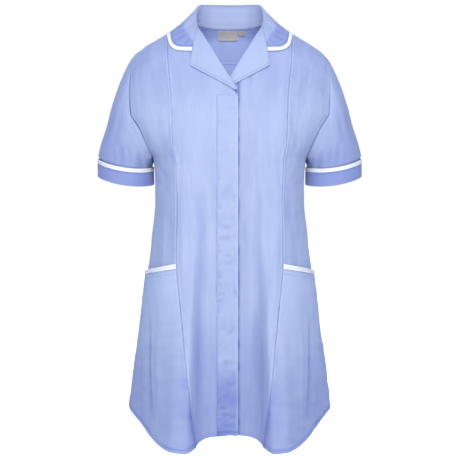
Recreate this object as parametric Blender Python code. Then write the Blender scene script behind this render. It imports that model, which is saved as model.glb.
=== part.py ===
"""Maternity tunic, filled out as if worn, as thin cloth walls in Blender.

Sizes are in millimetres and become metres when a mesh is made. +Z is up and the front faces -Y, so
+X is the wearer's left. The origin lies midway between the two points where neck and shoulder seams meet.

The body is one smooth surface, torso(turn, z): turn is the angle round the wearer from the centre
front towards the wearer's left, and z is the height. Every panel is a grid of its points between
seams, and whatever lies on a panel is made from the same points, moved out.
"""
import math
from bisect import bisect_right
from collections import namedtuple

import bpy
import numpy as np

MM = 0.001
SHARP_ANGLE = math.radians(50)
HALVINGS = 26

# Cloth and making up
WALL = 1.2
CUFF_WALL = 2.0
COLLAR_WALL = 1.4
PIPING_WIDTH = 8.0
PIPING_THICKNESS = 2.2
PIPING_GAP = 0.6
SEAM_INSET = 0.2
LAYER_GAP = 0.3
LABEL_GAP = 1.4
LABEL_WALL = 0.8

# The body's form; fullness squares a section's corners
SECTION_FULLNESS = 0.13
SHOULDER_ROUND = 50.0
FLUTE_TOP = -330.0
FLUTE_HEM = -790.0
FLUTE_GROWTH = 1.8
BUST_X = 80.0
BUST_Z = -232.0
BUST_RISE = 11.0
BUST_SPREAD = 42.0
BUST_ABOVE = 62.0
BUST_BELOW = 105.0

# Seams and rows; a row is a share of the way from shoulder to hem
NECK_X = 71.0
PRINCESS_TOP_X = 122.0
UNDERARM_ROW = 0.31
POCKET_ROW = 0.58
POCKET_EDGE_ROW = 0.5915
SIDE_SEAM_TURN = math.radians(92.0)
UNDERARM_Z = -266.0
POCKET_INNER_Z = -461.0
POCKET_OUTER_Z = -490.0
YOKE_CENTRE_Z = -70.0
YOKE_ARMHOLE_Z = -96.0
UNDERLAP_DEPTH = 7.5
UNDERLAP_BLEND = 45.0
PLACKET_TOP_ROW = 0.21

# The room behind a pocket's mouth, and how many rows down it lasts
POCKET_ROOM_MIDDLE = 2.6
POCKET_ROOM_SIDE = 1.6
POCKET_ROOM_ROWS = 2.0

# Collar and lapels
FOLD_RADIUS = 2.0
FOLD_TUCK = 1.6
FOLD_BULGE = 1.5
COLLAR_CLEAR = 2.6
CLEARING_STEPS = 4

# Buttons under the placket
BUTTON_RADIUS = 7.0
BUTTON_THICKNESS = 2.4
BUTTON_TOP_Z = -190.0
BUTTON_PITCH = 100.0
BUTTON_COUNT = 6
BUTTON_SIDES = 12
BUTTON_TURN = 0.01

Section = namedtuple("Section", "z half_width front front_fullness back")
BODY = [
    Section(60, 215, 44, 0.13, 60),
    Section(0, 215, 50, 0.13, 66),
    Section(-30, 215, 62, 0.13, 74),
    Section(-66, 215, 80, 0.13, 84),
    Section(-120, 215, 101, 0.13, 96),
    Section(-174, 212, 118, 0.18, 104),
    Section(-202, 195, 124, 0.24, 107),
    Section(-246, 163, 130, 0.36, 109),
    Section(-266, 151, 131, 0.41, 109),
    Section(-310, 147, 132, 0.49, 109),
    Section(-346, 147.3, 132, 0.52, 109),
    Section(-406, 153.3, 132, 0.52, 111),
    Section(-446, 158, 133, 0.5, 114),
    Section(-506, 167.5, 133, 0.47, 120),
    Section(-587, 177.8, 134, 0.42, 130),
    Section(-669, 190, 134, 0.36, 140),
    Section(-757, 200.5, 135, 0.3, 148),
    Section(-830, 209, 135, 0.3, 153),
]

RidgePoint = namedtuple("RidgePoint", "x z")
SHOULDER_RIDGE = [
    RidgePoint(0, 28),
    RidgePoint(32, 20),
    RidgePoint(56, 8),
    RidgePoint(71, 0),
    RidgePoint(95, -7.5),
    RidgePoint(112, -13.5),
    RidgePoint(130, -21.5),
    RidgePoint(144, -29.5),
    RidgePoint(158, -37.5),
    RidgePoint(170, -45.5),
    RidgePoint(180, -53),
    RidgePoint(190, -61.5),
    RidgePoint(197, -70),
    RidgePoint(230, -125),
]

BACK_NECK = [
    RidgePoint(0, -3),
    RidgePoint(32, -2.5),
    RidgePoint(56, -1),
    RidgePoint(66, -0.3),
    RidgePoint(71, 0),
]

HemPoint = namedtuple("HemPoint", "turn x y z")
HEM = [
    HemPoint(0, 0, -134, -790),
    HemPoint(8, 33, -135, -793.5),
    HemPoint(13, 48, -140, -797.5),
    HemPoint(16, 58, -150, -803),
    HemPoint(19, 67, -173, -808),
    HemPoint(23, 82, -197, -811.5),
    HemPoint(29, 104, -194, -810),
    HemPoint(37, 129, -168, -804.5),
    HemPoint(46, 148, -141, -794),
    HemPoint(55, 162, -114, -784),
    HemPoint(64, 174, -90, -775),
    HemPoint(74, 191, -60, -765),
    HemPoint(84, 202, -28, -760),
    HemPoint(92, 205, 0, -758),
    HemPoint(105, 203, 38, -758),
    HemPoint(120, 183, 79, -762),
    HemPoint(133, 154, 107, -767),
    HemPoint(144, 126, 140, -773),
    HemPoint(154, 93, 160, -777),
    HemPoint(165, 54, 152, -777),
    HemPoint(173, 26, 146, -776),
    HemPoint(180, 0, 149, -776),
]

SeamPoint = namedtuple("SeamPoint", "z x")
PRINCESS_SEAM = [
    SeamPoint(-18, 122),
    SeamPoint(-63, 119.5),
    SeamPoint(-152, 111),
    SeamPoint(-228, 108),
    SeamPoint(-274, 101.5),
    SeamPoint(-340, 99.5),
    SeamPoint(-458, 101),
    SeamPoint(-530, 94.5),
    SeamPoint(-606, 86.5),
    SeamPoint(-680, 79),
    SeamPoint(-806, 64.5),
]

# From the shoulder's end to the underarm; the turn is measured from the side, to front or back alike
ArmholePoint = namedtuple("ArmholePoint", "along turn_from_side z")
ARMHOLE = [
    ArmholePoint(0, 27, -69),
    ArmholePoint(0.0765, 28, -77),
    ArmholePoint(0.17, 29, -96),
    ArmholePoint(0.27, 29, -119),
    ArmholePoint(0.496, 28.5, -176),
    ArmholePoint(0.62, 29, -204),
    ArmholePoint(0.743, 24, -232),
    ArmholePoint(0.82, 19.5, -246.5),
    ArmholePoint(0.895, 14.5, -258),
    ArmholePoint(1, 0, -266),
]
YOKE_ALONG = 0.17
# How far down the back the underarm is, how far down rows follow the ridge, and from where the hem
BACK_UNDERARM_SHARE = 0.28
RIDGE_UNTIL_SHARE = 0.3
HEM_FROM_SHARE = 0.6

# The wearer's left front: its neck, roll line and front edge, and the line of the placket's stitching
EdgePoint = namedtuple("EdgePoint", "row x z")
FRONT_EDGE = [
    EdgePoint(0, 71, 0),
    EdgePoint(0.009, 70, -5),
    EdgePoint(0.033, 65.7, -14.3),
    EdgePoint(0.19, -11, -138),
    EdgePoint(0.21, -16, -144),
    EdgePoint(1, -16, -790),
]
PLACKET_LINE = [
    EdgePoint(0, 88, -5),
    EdgePoint(0.009, 87, -10),
    EdgePoint(0.033, 83, -29),
    EdgePoint(0.19, 24, -137),
    EdgePoint(0.21, 24, -143),
    EdgePoint(1, 24, -792),
]

ROWS = [
    0, 0.009, 0.033, 0.067, 0.11, 0.15, 0.19, 0.21, 0.24, 0.275, UNDERARM_ROW,
    0.355, 0.40, 0.445, 0.49, 0.535, POCKET_ROW, POCKET_EDGE_ROW,
    0.64, 0.69, 0.74, 0.79, 0.84, 0.88, 0.92, 0.96, 1,
]
SIDE_COLUMNS = [0, 0.05, 0.11, 0.18, 0.27, 0.37, 0.48, 0.59, 0.70, 0.81, 0.91, 1]
FRONT_COLUMNS = [0, 0.09, 0.2, 0.32, 0.44, 0.55, 0.66, 0.78, 0.89, 1]
PLACKET_SHARE = 0.66
BACK_COLUMN_COUNT = 24
BACK_ARMHOLE_ROWS = [0, 0.14, 0.29, 0.44, 0.58, 0.72, 0.86, 1]
YOKE_ROWS = [0, 0.26, 0.6, 1]
YOKE_SHOULDER_COLUMNS = [0, 0.25, 0.5, 0.75, 1]
YOKE_NECK_CELLS = 12
YOKE_EDGE_BLEND = 0.2

# The cuff's lower edge as a ring, and the sleeve's heights above it
CUFF_CENTRE = (206.5, -2.0, -307.0)
CUFF_HALF_WIDTH = 54.0
CUFF_HALF_DEPTH = 52.8
CUFF_TILT = 8.5
CUFF_FRONT_DIP = 5.0
CUFF_LEAN = 3.0
CUFF_HEIGHT = 35.0
SLEEVE_UNDER_CUFF = 12.0
SLEEVE_NARROWING = 2.8
# The sleeve's direction out of the armhole, sideways and forwards, and into the cuff
SLEEVE_START_OUT = (0.34, -0.065, 0.195)
SLEEVE_START_FORWARD = 0.25
SLEEVE_START_DOWN = 0.87
SLEEVE_END_OUT = (0.06, 0.08)
SLEEVE_ROWS = [0, 0.08, 0.19, 0.32, 0.46, 0.60, 0.74, 0.87, 1]

# Half of the collar from the centre back to the lapel: neck seam, centre of the roll, and outer edge.
# The outer edge is a place on the body, behind or in front, and the collar is held clear of it
CollarStation = namedtuple("CollarStation", "neck roll edge_x edge_z behind")
COLLAR = [
    CollarStation((0, 64, -3), (0, 70, 44.5), 0, -12, True),
    CollarStation((32, 59, -2), (33, 66, 44.5), 42, -13, True),
    CollarStation((56, 41, 0), (57, 49, 43), 84, -15, True),
    CollarStation((68, 17, 1), (66.5, 22, 31), 109, -14, True),
    CollarStation((70, 0, 0.6), (68, -1, 15), 115, -18, False),
    CollarStation((68.9, -14, -3.4), (66.5, -14, 2.5), 109, -42, False),
    CollarStation((66.2, -24, -9.5), (64.5, -24, -6), 92, -50, False),
]

# The lapel seen from the front: its roll from the gorge to the break, and the outer edge beside it
LapelStation = namedtuple("LapelStation", "share outer_x outer_z")
LAPEL_ROLL_TOP = (62.0, -12.0)
LAPEL_ROLL_END = (-13.0, -133.0)
LAPEL = [
    LapelStation(0, 76, -86),
    LapelStation(0.2, 60, -94.7),
    LapelStation(0.4, 44, -103.4),
    LapelStation(0.6, 28, -112),
    LapelStation(0.8, 11, -121.3),
    LapelStation(0.93, -1, -128),
    LapelStation(1, -8.5, -133.5),
]
COLLAR_STEPS_PER_STATION = 2
# Shares of the way from the roll to the outer edge; the collar meets the first five of the lapel's
COLLAR_SHARES = [0, 0.25, 0.5, 0.75, 1]
LAPEL_SHARES = [0, 0.14, 0.28, 0.42, 0.56, 0.78, 1]

LabelSize = namedtuple("LabelSize", "name left right top bottom columns rows")
LABELS = [
    LabelSize("neck_label", -24, 17, -5, -24, 4, 2),
    LabelSize("size_tab", 19, 34, -5, -14, 2, 1),
]

Paint = namedtuple("Paint", "colour roughness")
BLUE = Paint((0.40, 0.48, 0.82), 0.78)
WHITE = Paint((0.93, 0.93, 0.95), 0.7)
LABEL = Paint((0.62, 0.60, 0.57), 0.85)
BUTTON = Paint((0.55, 0.62, 0.86), 0.35)


class Curve:
    """A smooth curve through a table's rows that never swings past them."""

    def __init__(self, keys, values):
        self.keys = list(keys)
        self.values = list(values)
        steps = [b - a for a, b in zip(self.keys, self.keys[1:])]
        slopes = [(b - a) / step for a, b, step in zip(self.values, self.values[1:], steps)]
        self.tangents = [slopes[0]]
        for i in range(1, len(slopes)):
            before, after = slopes[i - 1], slopes[i]
            if before * after <= 0:
                self.tangents.append(0.0)
                continue
            weight_before = 2 * steps[i] + steps[i - 1]
            weight_after = steps[i] + 2 * steps[i - 1]
            mean = (weight_before + weight_after) / (weight_before / before + weight_after / after)
            self.tangents.append(mean)
        self.tangents.append(slopes[-1])

    def __call__(self, key):
        key = min(max(key, self.keys[0]), self.keys[-1])
        i = min(max(bisect_right(self.keys, key) - 1, 0), len(self.keys) - 2)
        step = self.keys[i + 1] - self.keys[i]
        t = (key - self.keys[i]) / step
        start, end = self.values[i], self.values[i + 1]
        leave, arrive = self.tangents[i] * step, self.tangents[i + 1] * step
        return (
            start * (2 * t**3 - 3 * t**2 + 1)
            + leave * (t**3 - 2 * t**2 + t)
            + end * (3 * t**2 - 2 * t**3)
            + arrive * (t**3 - t**2)
        )


def column(rows, key, value, sign=1):
    """The curve of one named column of a table against another."""
    ordered = sorted(rows, key=lambda row: getattr(row, key) * sign)
    return Curve([getattr(row, key) * sign for row in ordered], [getattr(row, value) for row in ordered])


half_width_at = column(BODY, "z", "half_width")
front_at = column(BODY, "z", "front")
front_fullness_at = column(BODY, "z", "front_fullness")
back_at = column(BODY, "z", "back")
ridge_at = column(SHOULDER_RIDGE, "x", "z")
hem_x_at = column(HEM, "turn", "x")
hem_y_at = column(HEM, "turn", "y")
hem_z_at = column(HEM, "turn", "z")
princess_x_at = column(PRINCESS_SEAM, "z", "x")
armhole_turn_at = column(ARMHOLE, "along", "turn_from_side")
armhole_z_at = column(ARMHOLE, "along", "z")
back_neck_at = column(BACK_NECK, "x", "z")


def mix(a, b, share):
    return a + (b - a) * share


def smooth_step(value, low, high):
    t = min(max((value - low) / (high - low), 0.0), 1.0)
    return t * t * (3 - 2 * t)


def unit(vector):
    vector = np.asarray(vector, dtype=float)
    return vector / np.linalg.norm(vector)


def plain_section(turn, z):
    """Width and depth of the smooth body at a turn from 0 to pi, before shoulders, bust and flutes."""
    s, c = math.sin(turn), math.cos(turn)
    if c > 0:
        depth, fullness = front_at(z), front_fullness_at(z)
    else:
        depth, fullness = back_at(z), SECTION_FULLNESS
    x = half_width_at(z) * s * (1 + SECTION_FULLNESS * c * c)
    y = -depth * c * (1 + fullness * s * s)
    return x, y


def shoulder_cap(x, z):
    """The share of its depth that the body keeps near the shoulder's ridge."""
    drop = max(ridge_at(x) - z, 0.0)
    if drop >= SHOULDER_ROUND:
        return 1.0
    return math.sqrt(1 - (1 - drop / SHOULDER_ROUND) ** 2)


def torso(turn, z):
    """A point on the cloth's outer face."""
    side = -1.0 if turn < 0 else 1.0
    turn = abs(turn)
    x, y = plain_section(turn, z)
    y *= shoulder_cap(x, z)
    if z < FLUTE_TOP:
        growth = ((z - FLUTE_TOP) / (FLUTE_HEM - FLUTE_TOP)) ** FLUTE_GROWTH
        plain_x, plain_y = plain_section(turn, FLUTE_HEM)
        degrees = math.degrees(turn)
        x += growth * (hem_x_at(degrees) - plain_x)
        y += growth * (hem_y_at(degrees) - plain_y)
    if turn < math.pi / 2:
        reach = BUST_ABOVE if z > BUST_Z else BUST_BELOW
        y -= BUST_RISE * math.exp(-((x - BUST_X) / BUST_SPREAD) ** 2 - ((z - BUST_Z) / reach) ** 2)
    return np.array([side * x, y, z])


def torso_normal(turn, z):
    """The direction straight out of the cloth."""
    x = abs(torso(turn, z)[0])
    drop = ridge_at(x) - z
    if drop < 1.0:
        slope = (ridge_at(x + 0.5) - ridge_at(x - 0.5)) * math.copysign(1.0, turn)
        return unit([-slope, 0, 1])
    dz = min(0.5, drop / 2)
    dt = 0.002
    across = torso(turn + dt, z) - torso(turn - dt, z)
    down = torso(turn, z - dz) - torso(turn, z + dz)
    return unit(np.cross(down, across))


def turn_at(x, z):
    """The turn in front where the body is x wide; x below zero is past the centre."""
    low, high = 0.0, math.radians(88)
    for _ in range(HALVINGS):
        middle = (low + high) / 2
        if torso(middle, z)[0] < abs(x):
            low = middle
        else:
            high = middle
    return math.copysign(low, x)


def front_point(x, z, out=0.0):
    """A point moved out from the front of the body, placed as it is seen from in front."""
    turn = turn_at(x, z)
    return torso(turn, z) + torso_normal(turn, z) * out


def table_point(rows, row):
    """A place between the rows of an edge table, in straight runs."""
    keys = [point.row for point in rows]
    return np.interp(row, keys, [p.x for p in rows]), np.interp(row, keys, [p.z for p in rows])


# Seams as functions of the row, each giving a turn and a height
def princess_seam(row):
    top = ridge_at(PRINCESS_TOP_X)
    hem = hem_z_at(16)
    z = np.interp(row, [0, POCKET_ROW, 1], [top, POCKET_INNER_Z, hem])
    return turn_at(princess_x_at(z), z), z


def armhole(along, behind=False):
    from_side = math.radians(armhole_turn_at(along))
    turn = math.pi / 2 + from_side if behind else math.pi / 2 - from_side
    turn = mix(turn, SIDE_SEAM_TURN, smooth_step(along, 0.86, 1.0))
    return turn, min(armhole_z_at(along), top_z(turn))


def side_seam(row):
    z = np.interp(row, [UNDERARM_ROW, POCKET_ROW, 1], [UNDERARM_Z, POCKET_OUTER_Z, hem_z_at(92)])
    return SIDE_SEAM_TURN, z


def armhole_and_side(row):
    if row <= UNDERARM_ROW:
        return armhole(row / UNDERARM_ROW)
    return side_seam(row)


def front_edge(row):
    x, z = table_point(FRONT_EDGE, row)
    return turn_at(x, z), z


def placket_line(row):
    x, z = table_point(PLACKET_LINE, row)
    return turn_at(x, z), z


# Grids of places (turn, z) on the body; the left half of the garment, which the right half mirrors
def front_places():
    places = []
    for row in ROWS:
        outer, middle, inner = princess_seam(row), placket_line(row), front_edge(row)
        line = []
        for share in FRONT_COLUMNS:
            if share <= PLACKET_SHARE:
                start, end, t = outer, middle, share / PLACKET_SHARE
            else:
                start, end, t = middle, inner, (share - PLACKET_SHARE) / (1 - PLACKET_SHARE)
            line.append(place_between(start, end, t, row))
        places.append(line)
    return places


def side_front_places():
    places = []
    for row in ROWS:
        inner, outer = princess_seam(row), armhole_and_side(row)
        places.append([place_between(inner, outer, share, row) for share in SIDE_COLUMNS])
    return places


def place_between(start, end, share, row):
    """A place between two seams; the first row keeps to the shoulder's ridge, the last to the hem."""
    turn = mix(start[0], end[0], share)
    z = mix(start[1], end[1], share)
    straight = mix(top_z(start[0]), top_z(end[0]), share)
    z += (top_z(turn) - straight) * (1 - smooth_step(row, 0, RIDGE_UNTIL_SHARE))
    hem_straight = mix(hem_z_at(math.degrees(abs(start[0]))), hem_z_at(math.degrees(abs(end[0]))), share)
    z += (hem_z_at(math.degrees(abs(turn))) - hem_straight) * smooth_step(row, HEM_FROM_SHARE, 1)
    return turn, z


def top_z(turn):
    """The height of the shoulder's ridge at a turn; its width hardly changes so near the top."""
    x, _ = plain_section(abs(turn), 0)
    return ridge_at(x)


def back_places():
    """The back from side seam to side seam, below the yoke."""
    side_rows = [row for row in ROWS if row >= UNDERARM_ROW]
    edges = [armhole(mix(YOKE_ALONG, 1, t), behind=True) for t in BACK_ARMHOLE_ROWS]
    edges += [side_seam(row) for row in side_rows[1:]]
    reach = [BACK_UNDERARM_SHARE * t for t in BACK_ARMHOLE_ROWS]
    reach += [np.interp(row, [UNDERARM_ROW, 1], [BACK_UNDERARM_SHARE, 1]) for row in side_rows[1:]]
    places = []
    for (edge_turn, edge_z), share in zip(edges, reach):
        line = []
        for i in range(BACK_COLUMN_COUNT + 1):
            turn = mix(edge_turn, 2 * math.pi - edge_turn, i / BACK_COLUMN_COUNT)
            folded = min(turn, 2 * math.pi - turn)
            centre_z = mix(YOKE_CENTRE_Z, hem_z_at(180), share)
            inward = (folded - edge_turn) / (math.pi - edge_turn)
            z = mix(edge_z, centre_z, math.sin(inward * math.pi / 2))
            hem = hem_z_at(math.degrees(folded))
            hem_plain = mix(hem_z_at(92), hem_z_at(180), math.sin(inward * math.pi / 2))
            z += (hem - hem_plain) * smooth_step(share, HEM_FROM_SHARE, 1)
            line.append((turn if turn <= math.pi else turn - 2 * math.pi, z))
        places.append(line)
    return places


def yoke_top(turn):
    """The yoke's upper edge: the shoulder's ridge, then the neck seam behind."""
    x, _ = plain_section(turn, 0)
    if x >= NECK_X:
        return ridge_at(x)
    return back_neck_at(x)


def yoke_places():
    """The yoke from armhole to armhole, round the back of the neck."""
    neck_turn = math.pi - turn_at(NECK_X, 0)
    cells = range(1, YOKE_NECK_CELLS)
    middle = [mix(neck_turn, 2 * math.pi - neck_turn, i / YOKE_NECK_CELLS) for i in cells]
    places = []
    for share in YOKE_ROWS:
        arm_turn, arm_z = armhole(YOKE_ALONG * share, behind=True)
        drop = arm_z - mix(yoke_top(arm_turn), YOKE_ARMHOLE_Z, share)
        left = [mix(arm_turn, neck_turn, t) for t in YOKE_SHOULDER_COLUMNS]
        line = []
        for turn in left + middle + [2 * math.pi - turn for turn in reversed(left)]:
            folded = min(turn, 2 * math.pi - turn)
            inward = (folded - arm_turn) / (math.pi - arm_turn)
            bottom = mix(YOKE_ARMHOLE_Z, YOKE_CENTRE_Z, math.sin(inward * math.pi / 2))
            z = mix(yoke_top(folded), bottom, share)
            z += drop * (1 - smooth_step(inward, 0, YOKE_EDGE_BLEND))
            line.append((turn if turn <= math.pi else turn - 2 * math.pi, z))
        places.append(line)
    return places


def underlap_shift(point):
    """How far the wearer's left front lies inside the right one that passes over it."""
    xs = [p.x for p in reversed(FRONT_EDGE)]
    zs = [p.z for p in reversed(FRONT_EDGE)]
    edge_x = -np.interp(point[2], zs, xs)
    return UNDERLAP_DEPTH * (1 - smooth_step(point[0] - edge_x, 2, UNDERLAP_BLEND))


def raise_grid(places, out, shift=None):
    """Points of a grid of places, each moved out by a distance or by a function of row and column."""
    grid = []
    for i, line in enumerate(places):
        points = []
        for j, (turn, z) in enumerate(line):
            point = torso(turn, z)
            distance = out(i, j) if callable(out) else out
            if shift:
                distance -= shift(point)
            points.append(point + torso_normal(turn, z) * distance)
        grid.append(points)
    return np.array(grid)


def mirrored(grid):
    flipped = grid.copy()
    flipped[..., 0] *= -1
    return flipped


def inset(grid, top=0.0, bottom=0.0, left=0.0, right=0.0):
    """The grid with named edges drawn in, so that pieces part at their seams."""
    drawn = grid.copy()
    for edge, inner, distance in ((0, 1, top), (-1, -2, bottom)):
        step = grid[inner] - grid[edge]
        drawn[edge] += step / np.linalg.norm(step, axis=-1, keepdims=True) * distance
    base = drawn.copy()
    for edge, inner, distance in ((0, 1, left), (-1, -2, right)):
        step = base[:, inner] - base[:, edge]
        drawn[:, edge] += step / np.linalg.norm(step, axis=-1, keepdims=True) * distance
    return drawn


def sheet_normals(grid, closed=False):
    """Directions out of a free sheet, from the grid itself."""
    if closed:
        across = np.roll(grid, -1, axis=1) - np.roll(grid, 1, axis=1)
    else:
        across = np.gradient(grid, axis=1)
    down = np.gradient(grid, axis=0)
    normals = np.cross(down, across)
    return normals / np.linalg.norm(normals, axis=-1, keepdims=True)


def make_material(name, paint):
    material = bpy.data.materials.new(name)
    material.use_nodes = True
    shader = material.node_tree.nodes["Principled BSDF"]
    shader.inputs["Base Color"].default_value = (*paint.colour, 1)
    shader.inputs["Roughness"].default_value = paint.roughness
    shader.inputs["Metallic"].default_value = 0.0
    return material


def make_object(name, points, triangles, paint):
    """One closed solid in metres, turned so that its faces point out."""
    points = np.asarray(points, dtype=float)
    corners = points[np.array(triangles)]
    volume = np.einsum("ij,ij->i", corners[:, 0], np.cross(corners[:, 1], corners[:, 2])).sum()
    if volume < 0:
        triangles = [tuple(reversed(triangle)) for triangle in triangles]
    mesh = bpy.data.meshes.new(name)
    mesh.from_pydata((points * MM).tolist(), [], triangles)
    mesh.validate()
    mesh.shade_smooth()
    mesh.set_sharp_from_angle(angle=SHARP_ANGLE)
    mesh.materials.append(make_material(name, paint))
    solid = bpy.data.objects.new(name, mesh)
    bpy.context.scene.collection.objects.link(solid)
    return solid


def split_cell(points, a, b, c, d):
    """Two triangles over the cell of four corners, cut along its shorter diagonal."""
    if np.linalg.norm(points[a] - points[d]) <= np.linalg.norm(points[b] - points[c]):
        return (a, b, d), (a, d, c)
    return (a, b, c), (b, d, c)


def wall_solid(name, outer, inner, paint, closed=False):
    """A wall between two grids of points; a closed one runs round as a tube."""
    rows, columns = outer.shape[:2]
    count = rows * columns
    points = np.concatenate([outer.reshape(-1, 3), inner.reshape(-1, 3)])
    spans = columns if closed else columns - 1
    triangles = []
    for i in range(rows - 1):
        for j in range(spans):
            a = i * columns + j
            b = i * columns + (j + 1) % columns
            for p, q, r in split_cell(points, a, b, a + columns, b + columns):
                triangles += [(p, q, r), (p + count, r + count, q + count)]
    border = []
    for j in range(spans):
        following = (j + 1) % columns
        border.append((following, j))
        border.append(((rows - 1) * columns + j, (rows - 1) * columns + following))
    if not closed:
        for i in range(rows - 1):
            border.append((i * columns, (i + 1) * columns))
            border.append(((i + 1) * columns + columns - 1, i * columns + columns - 1))
    for a, b in border:
        triangles += [(a, b, b + count), (a, b + count, a + count)]
    return make_object(name, points, triangles, paint)


def strip_solid(name, grid, normals, thickness, paint, closed=False):
    """A trim of three lines of points, thick in the middle and thin at both edges."""
    swell = np.array([0.32, 0.5, 0.32])[:, None, None] * thickness
    return wall_solid(name, grid + normals * swell, grid - normals * swell, paint, closed)


def torso_panel(name, places, seams, paint, mirror=False, outer=0.0, thickness=WALL, shift=None):
    """A panel of the body, or a layer on it, with its outer face a distance out of the body's."""
    outside = raise_grid(places, outer, shift)
    inner = (lambda i, j: outer(i, j) - thickness) if callable(outer) else outer - thickness
    inside = raise_grid(places, inner, shift)
    outside, inside = inset(outside, **seams), inset(inside, **seams)
    if mirror:
        outside, inside = mirrored(outside), mirrored(inside)
    return wall_solid(name, outside, inside, paint)


def make_fronts():
    places = front_places()
    seams = {"top": SEAM_INSET, "left": SEAM_INSET}
    torso_panel("front_right", places, seams, BLUE, mirror=True)
    torso_panel("front_left", places, seams, BLUE, shift=underlap_shift)
    first = ROWS.index(PLACKET_TOP_ROW)
    start = FRONT_COLUMNS.index(PLACKET_SHARE)
    band = [line[start:] for line in places[first:]]
    torso_panel("front_placket", band, {}, BLUE, mirror=True, outer=LAYER_GAP + WALL)


def make_side_fronts():
    places = side_front_places()
    seams = {"top": SEAM_INSET, "left": SEAM_INSET, "right": SEAM_INSET}
    for name, mirror in (("side_front_left", False), ("side_front_right", True)):
        torso_panel(name, places, seams, BLUE, mirror)
    make_pockets(places)


def pocket_gap(column_index, rows_down):
    """The room behind the pocket: widest near the middle of its mouth, least along its seams."""
    share = SIDE_COLUMNS[column_index]
    room = POCKET_ROOM_MIDDLE * math.sin(math.pi * share) + POCKET_ROOM_SIDE * share
    return LAYER_GAP + room * math.exp(-rows_down / POCKET_ROOM_ROWS)


def pocket_face(row_index, column_index):
    return pocket_gap(column_index, row_index) + WALL


def pocket_piping_middle(_, column_index):
    return pocket_gap(column_index, 0) + PIPING_THICKNESS / 2


def make_pockets(side_places):
    mouth = ROWS.index(POCKET_ROW)
    first = ROWS.index(POCKET_EDGE_ROW)
    trim = [side_places[mouth], middle_line(side_places[mouth], side_places[first]), side_places[first]]
    sides = {"left": SEAM_INSET, "right": SEAM_INSET}
    piping = inset(raise_grid(trim, pocket_piping_middle), **sides)
    normals = sheet_normals(piping)
    for side, mirror in (("left", False), ("right", True)):
        seams = {**sides, "top": LAYER_GAP}
        torso_panel(f"pocket_{side}", side_places[first:], seams, BLUE, mirror, pocket_face)
        if mirror:
            piping, normals = mirrored(piping), mirrored(normals)
        strip_solid(f"pocket_piping_{side}", piping, normals, PIPING_THICKNESS, WHITE)


def middle_line(first, second):
    return [(mix(a[0], b[0], 0.5), mix(a[1], b[1], 0.5)) for a, b in zip(first, second)]


def make_back():
    seams = {"top": SEAM_INSET, "left": SEAM_INSET, "right": SEAM_INSET}
    torso_panel("back_panel", back_places(), seams, BLUE)
    torso_panel("back_yoke", yoke_places(), {**seams, "bottom": SEAM_INSET}, BLUE)


def cuff_ring(angle, height, grow=0.0):
    """A point of the cuff's ring; the angle runs from the outside to the front and the inside."""
    c, s = math.cos(angle), math.sin(angle)
    x = CUFF_CENTRE[0] + (CUFF_HALF_WIDTH + grow) * c
    y = CUFF_CENTRE[1] - (CUFF_HALF_DEPTH + grow) * s
    z = CUFF_CENTRE[2] + CUFF_TILT * c - CUFF_FRONT_DIP * s * s - CUFF_LEAN * s + height
    return np.array([x, y, z])


def armhole_loop():
    """The seam round the armhole: down the front, then up the back to the shoulder."""
    places = [armhole_and_side(row) for row in ROWS if row <= UNDERARM_ROW]
    behind = [armhole(mix(YOKE_ALONG, 1, t), behind=True) for t in BACK_ARMHOLE_ROWS]
    places += list(reversed(behind))[1:]
    yoke = yoke_places()
    places += [line[0] for line in reversed(yoke)][1:-1]
    return np.array([torso(turn, z) for turn, z in places])


def loop_angles(loop, lowest):
    """An angle for each point of the loop, half a turn down the front and half up the back."""
    steps = np.linalg.norm(np.diff(np.vstack([loop, loop[:1]]), axis=0), axis=1)
    along = np.concatenate([[0], np.cumsum(steps)])
    front, whole = along[lowest], along[-1]
    angles = []
    for distance in along[:-1]:
        if distance <= front:
            angles.append(math.pi * distance / front)
        else:
            angles.append(math.pi + math.pi * (distance - front) / (whole - front))
    return angles


def sleeve_start(angle):
    """The direction in which the sleeve leaves the armhole."""
    c, s = math.cos(angle), math.sin(angle)
    middle, tilt, spread = SLEEVE_START_OUT
    return unit([middle + tilt * c + spread * c * c, -SLEEVE_START_FORWARD * s, -SLEEVE_START_DOWN])


def sleeve_points(loop, angles):
    """Rows of points from the armhole to the end under the cuff."""
    rows = []
    for t in SLEEVE_ROWS:
        line = []
        for start, angle in zip(loop, angles):
            end = cuff_ring(angle, CUFF_HEIGHT - SLEEVE_UNDER_CUFF, -SLEEVE_NARROWING)
            reach = np.linalg.norm(end - start)
            leave = sleeve_start(angle) * reach
            outward = SLEEVE_END_OUT[0] + SLEEVE_END_OUT[1] * math.cos(angle)
            arrive = np.array([outward, 0, -1.0]) * reach
            line.append(
                start * (2 * t**3 - 3 * t**2 + 1)
                + leave * (t**3 - 2 * t**2 + t)
                + end * (3 * t**2 - 2 * t**3)
                + arrive * (t**3 - t**2)
            )
        rows.append(line)
    return np.array(rows)


def cuff_rings(heights, angles, grow):
    return np.array([[cuff_ring(angle, height, grow) for angle in angles] for height in heights])


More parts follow.
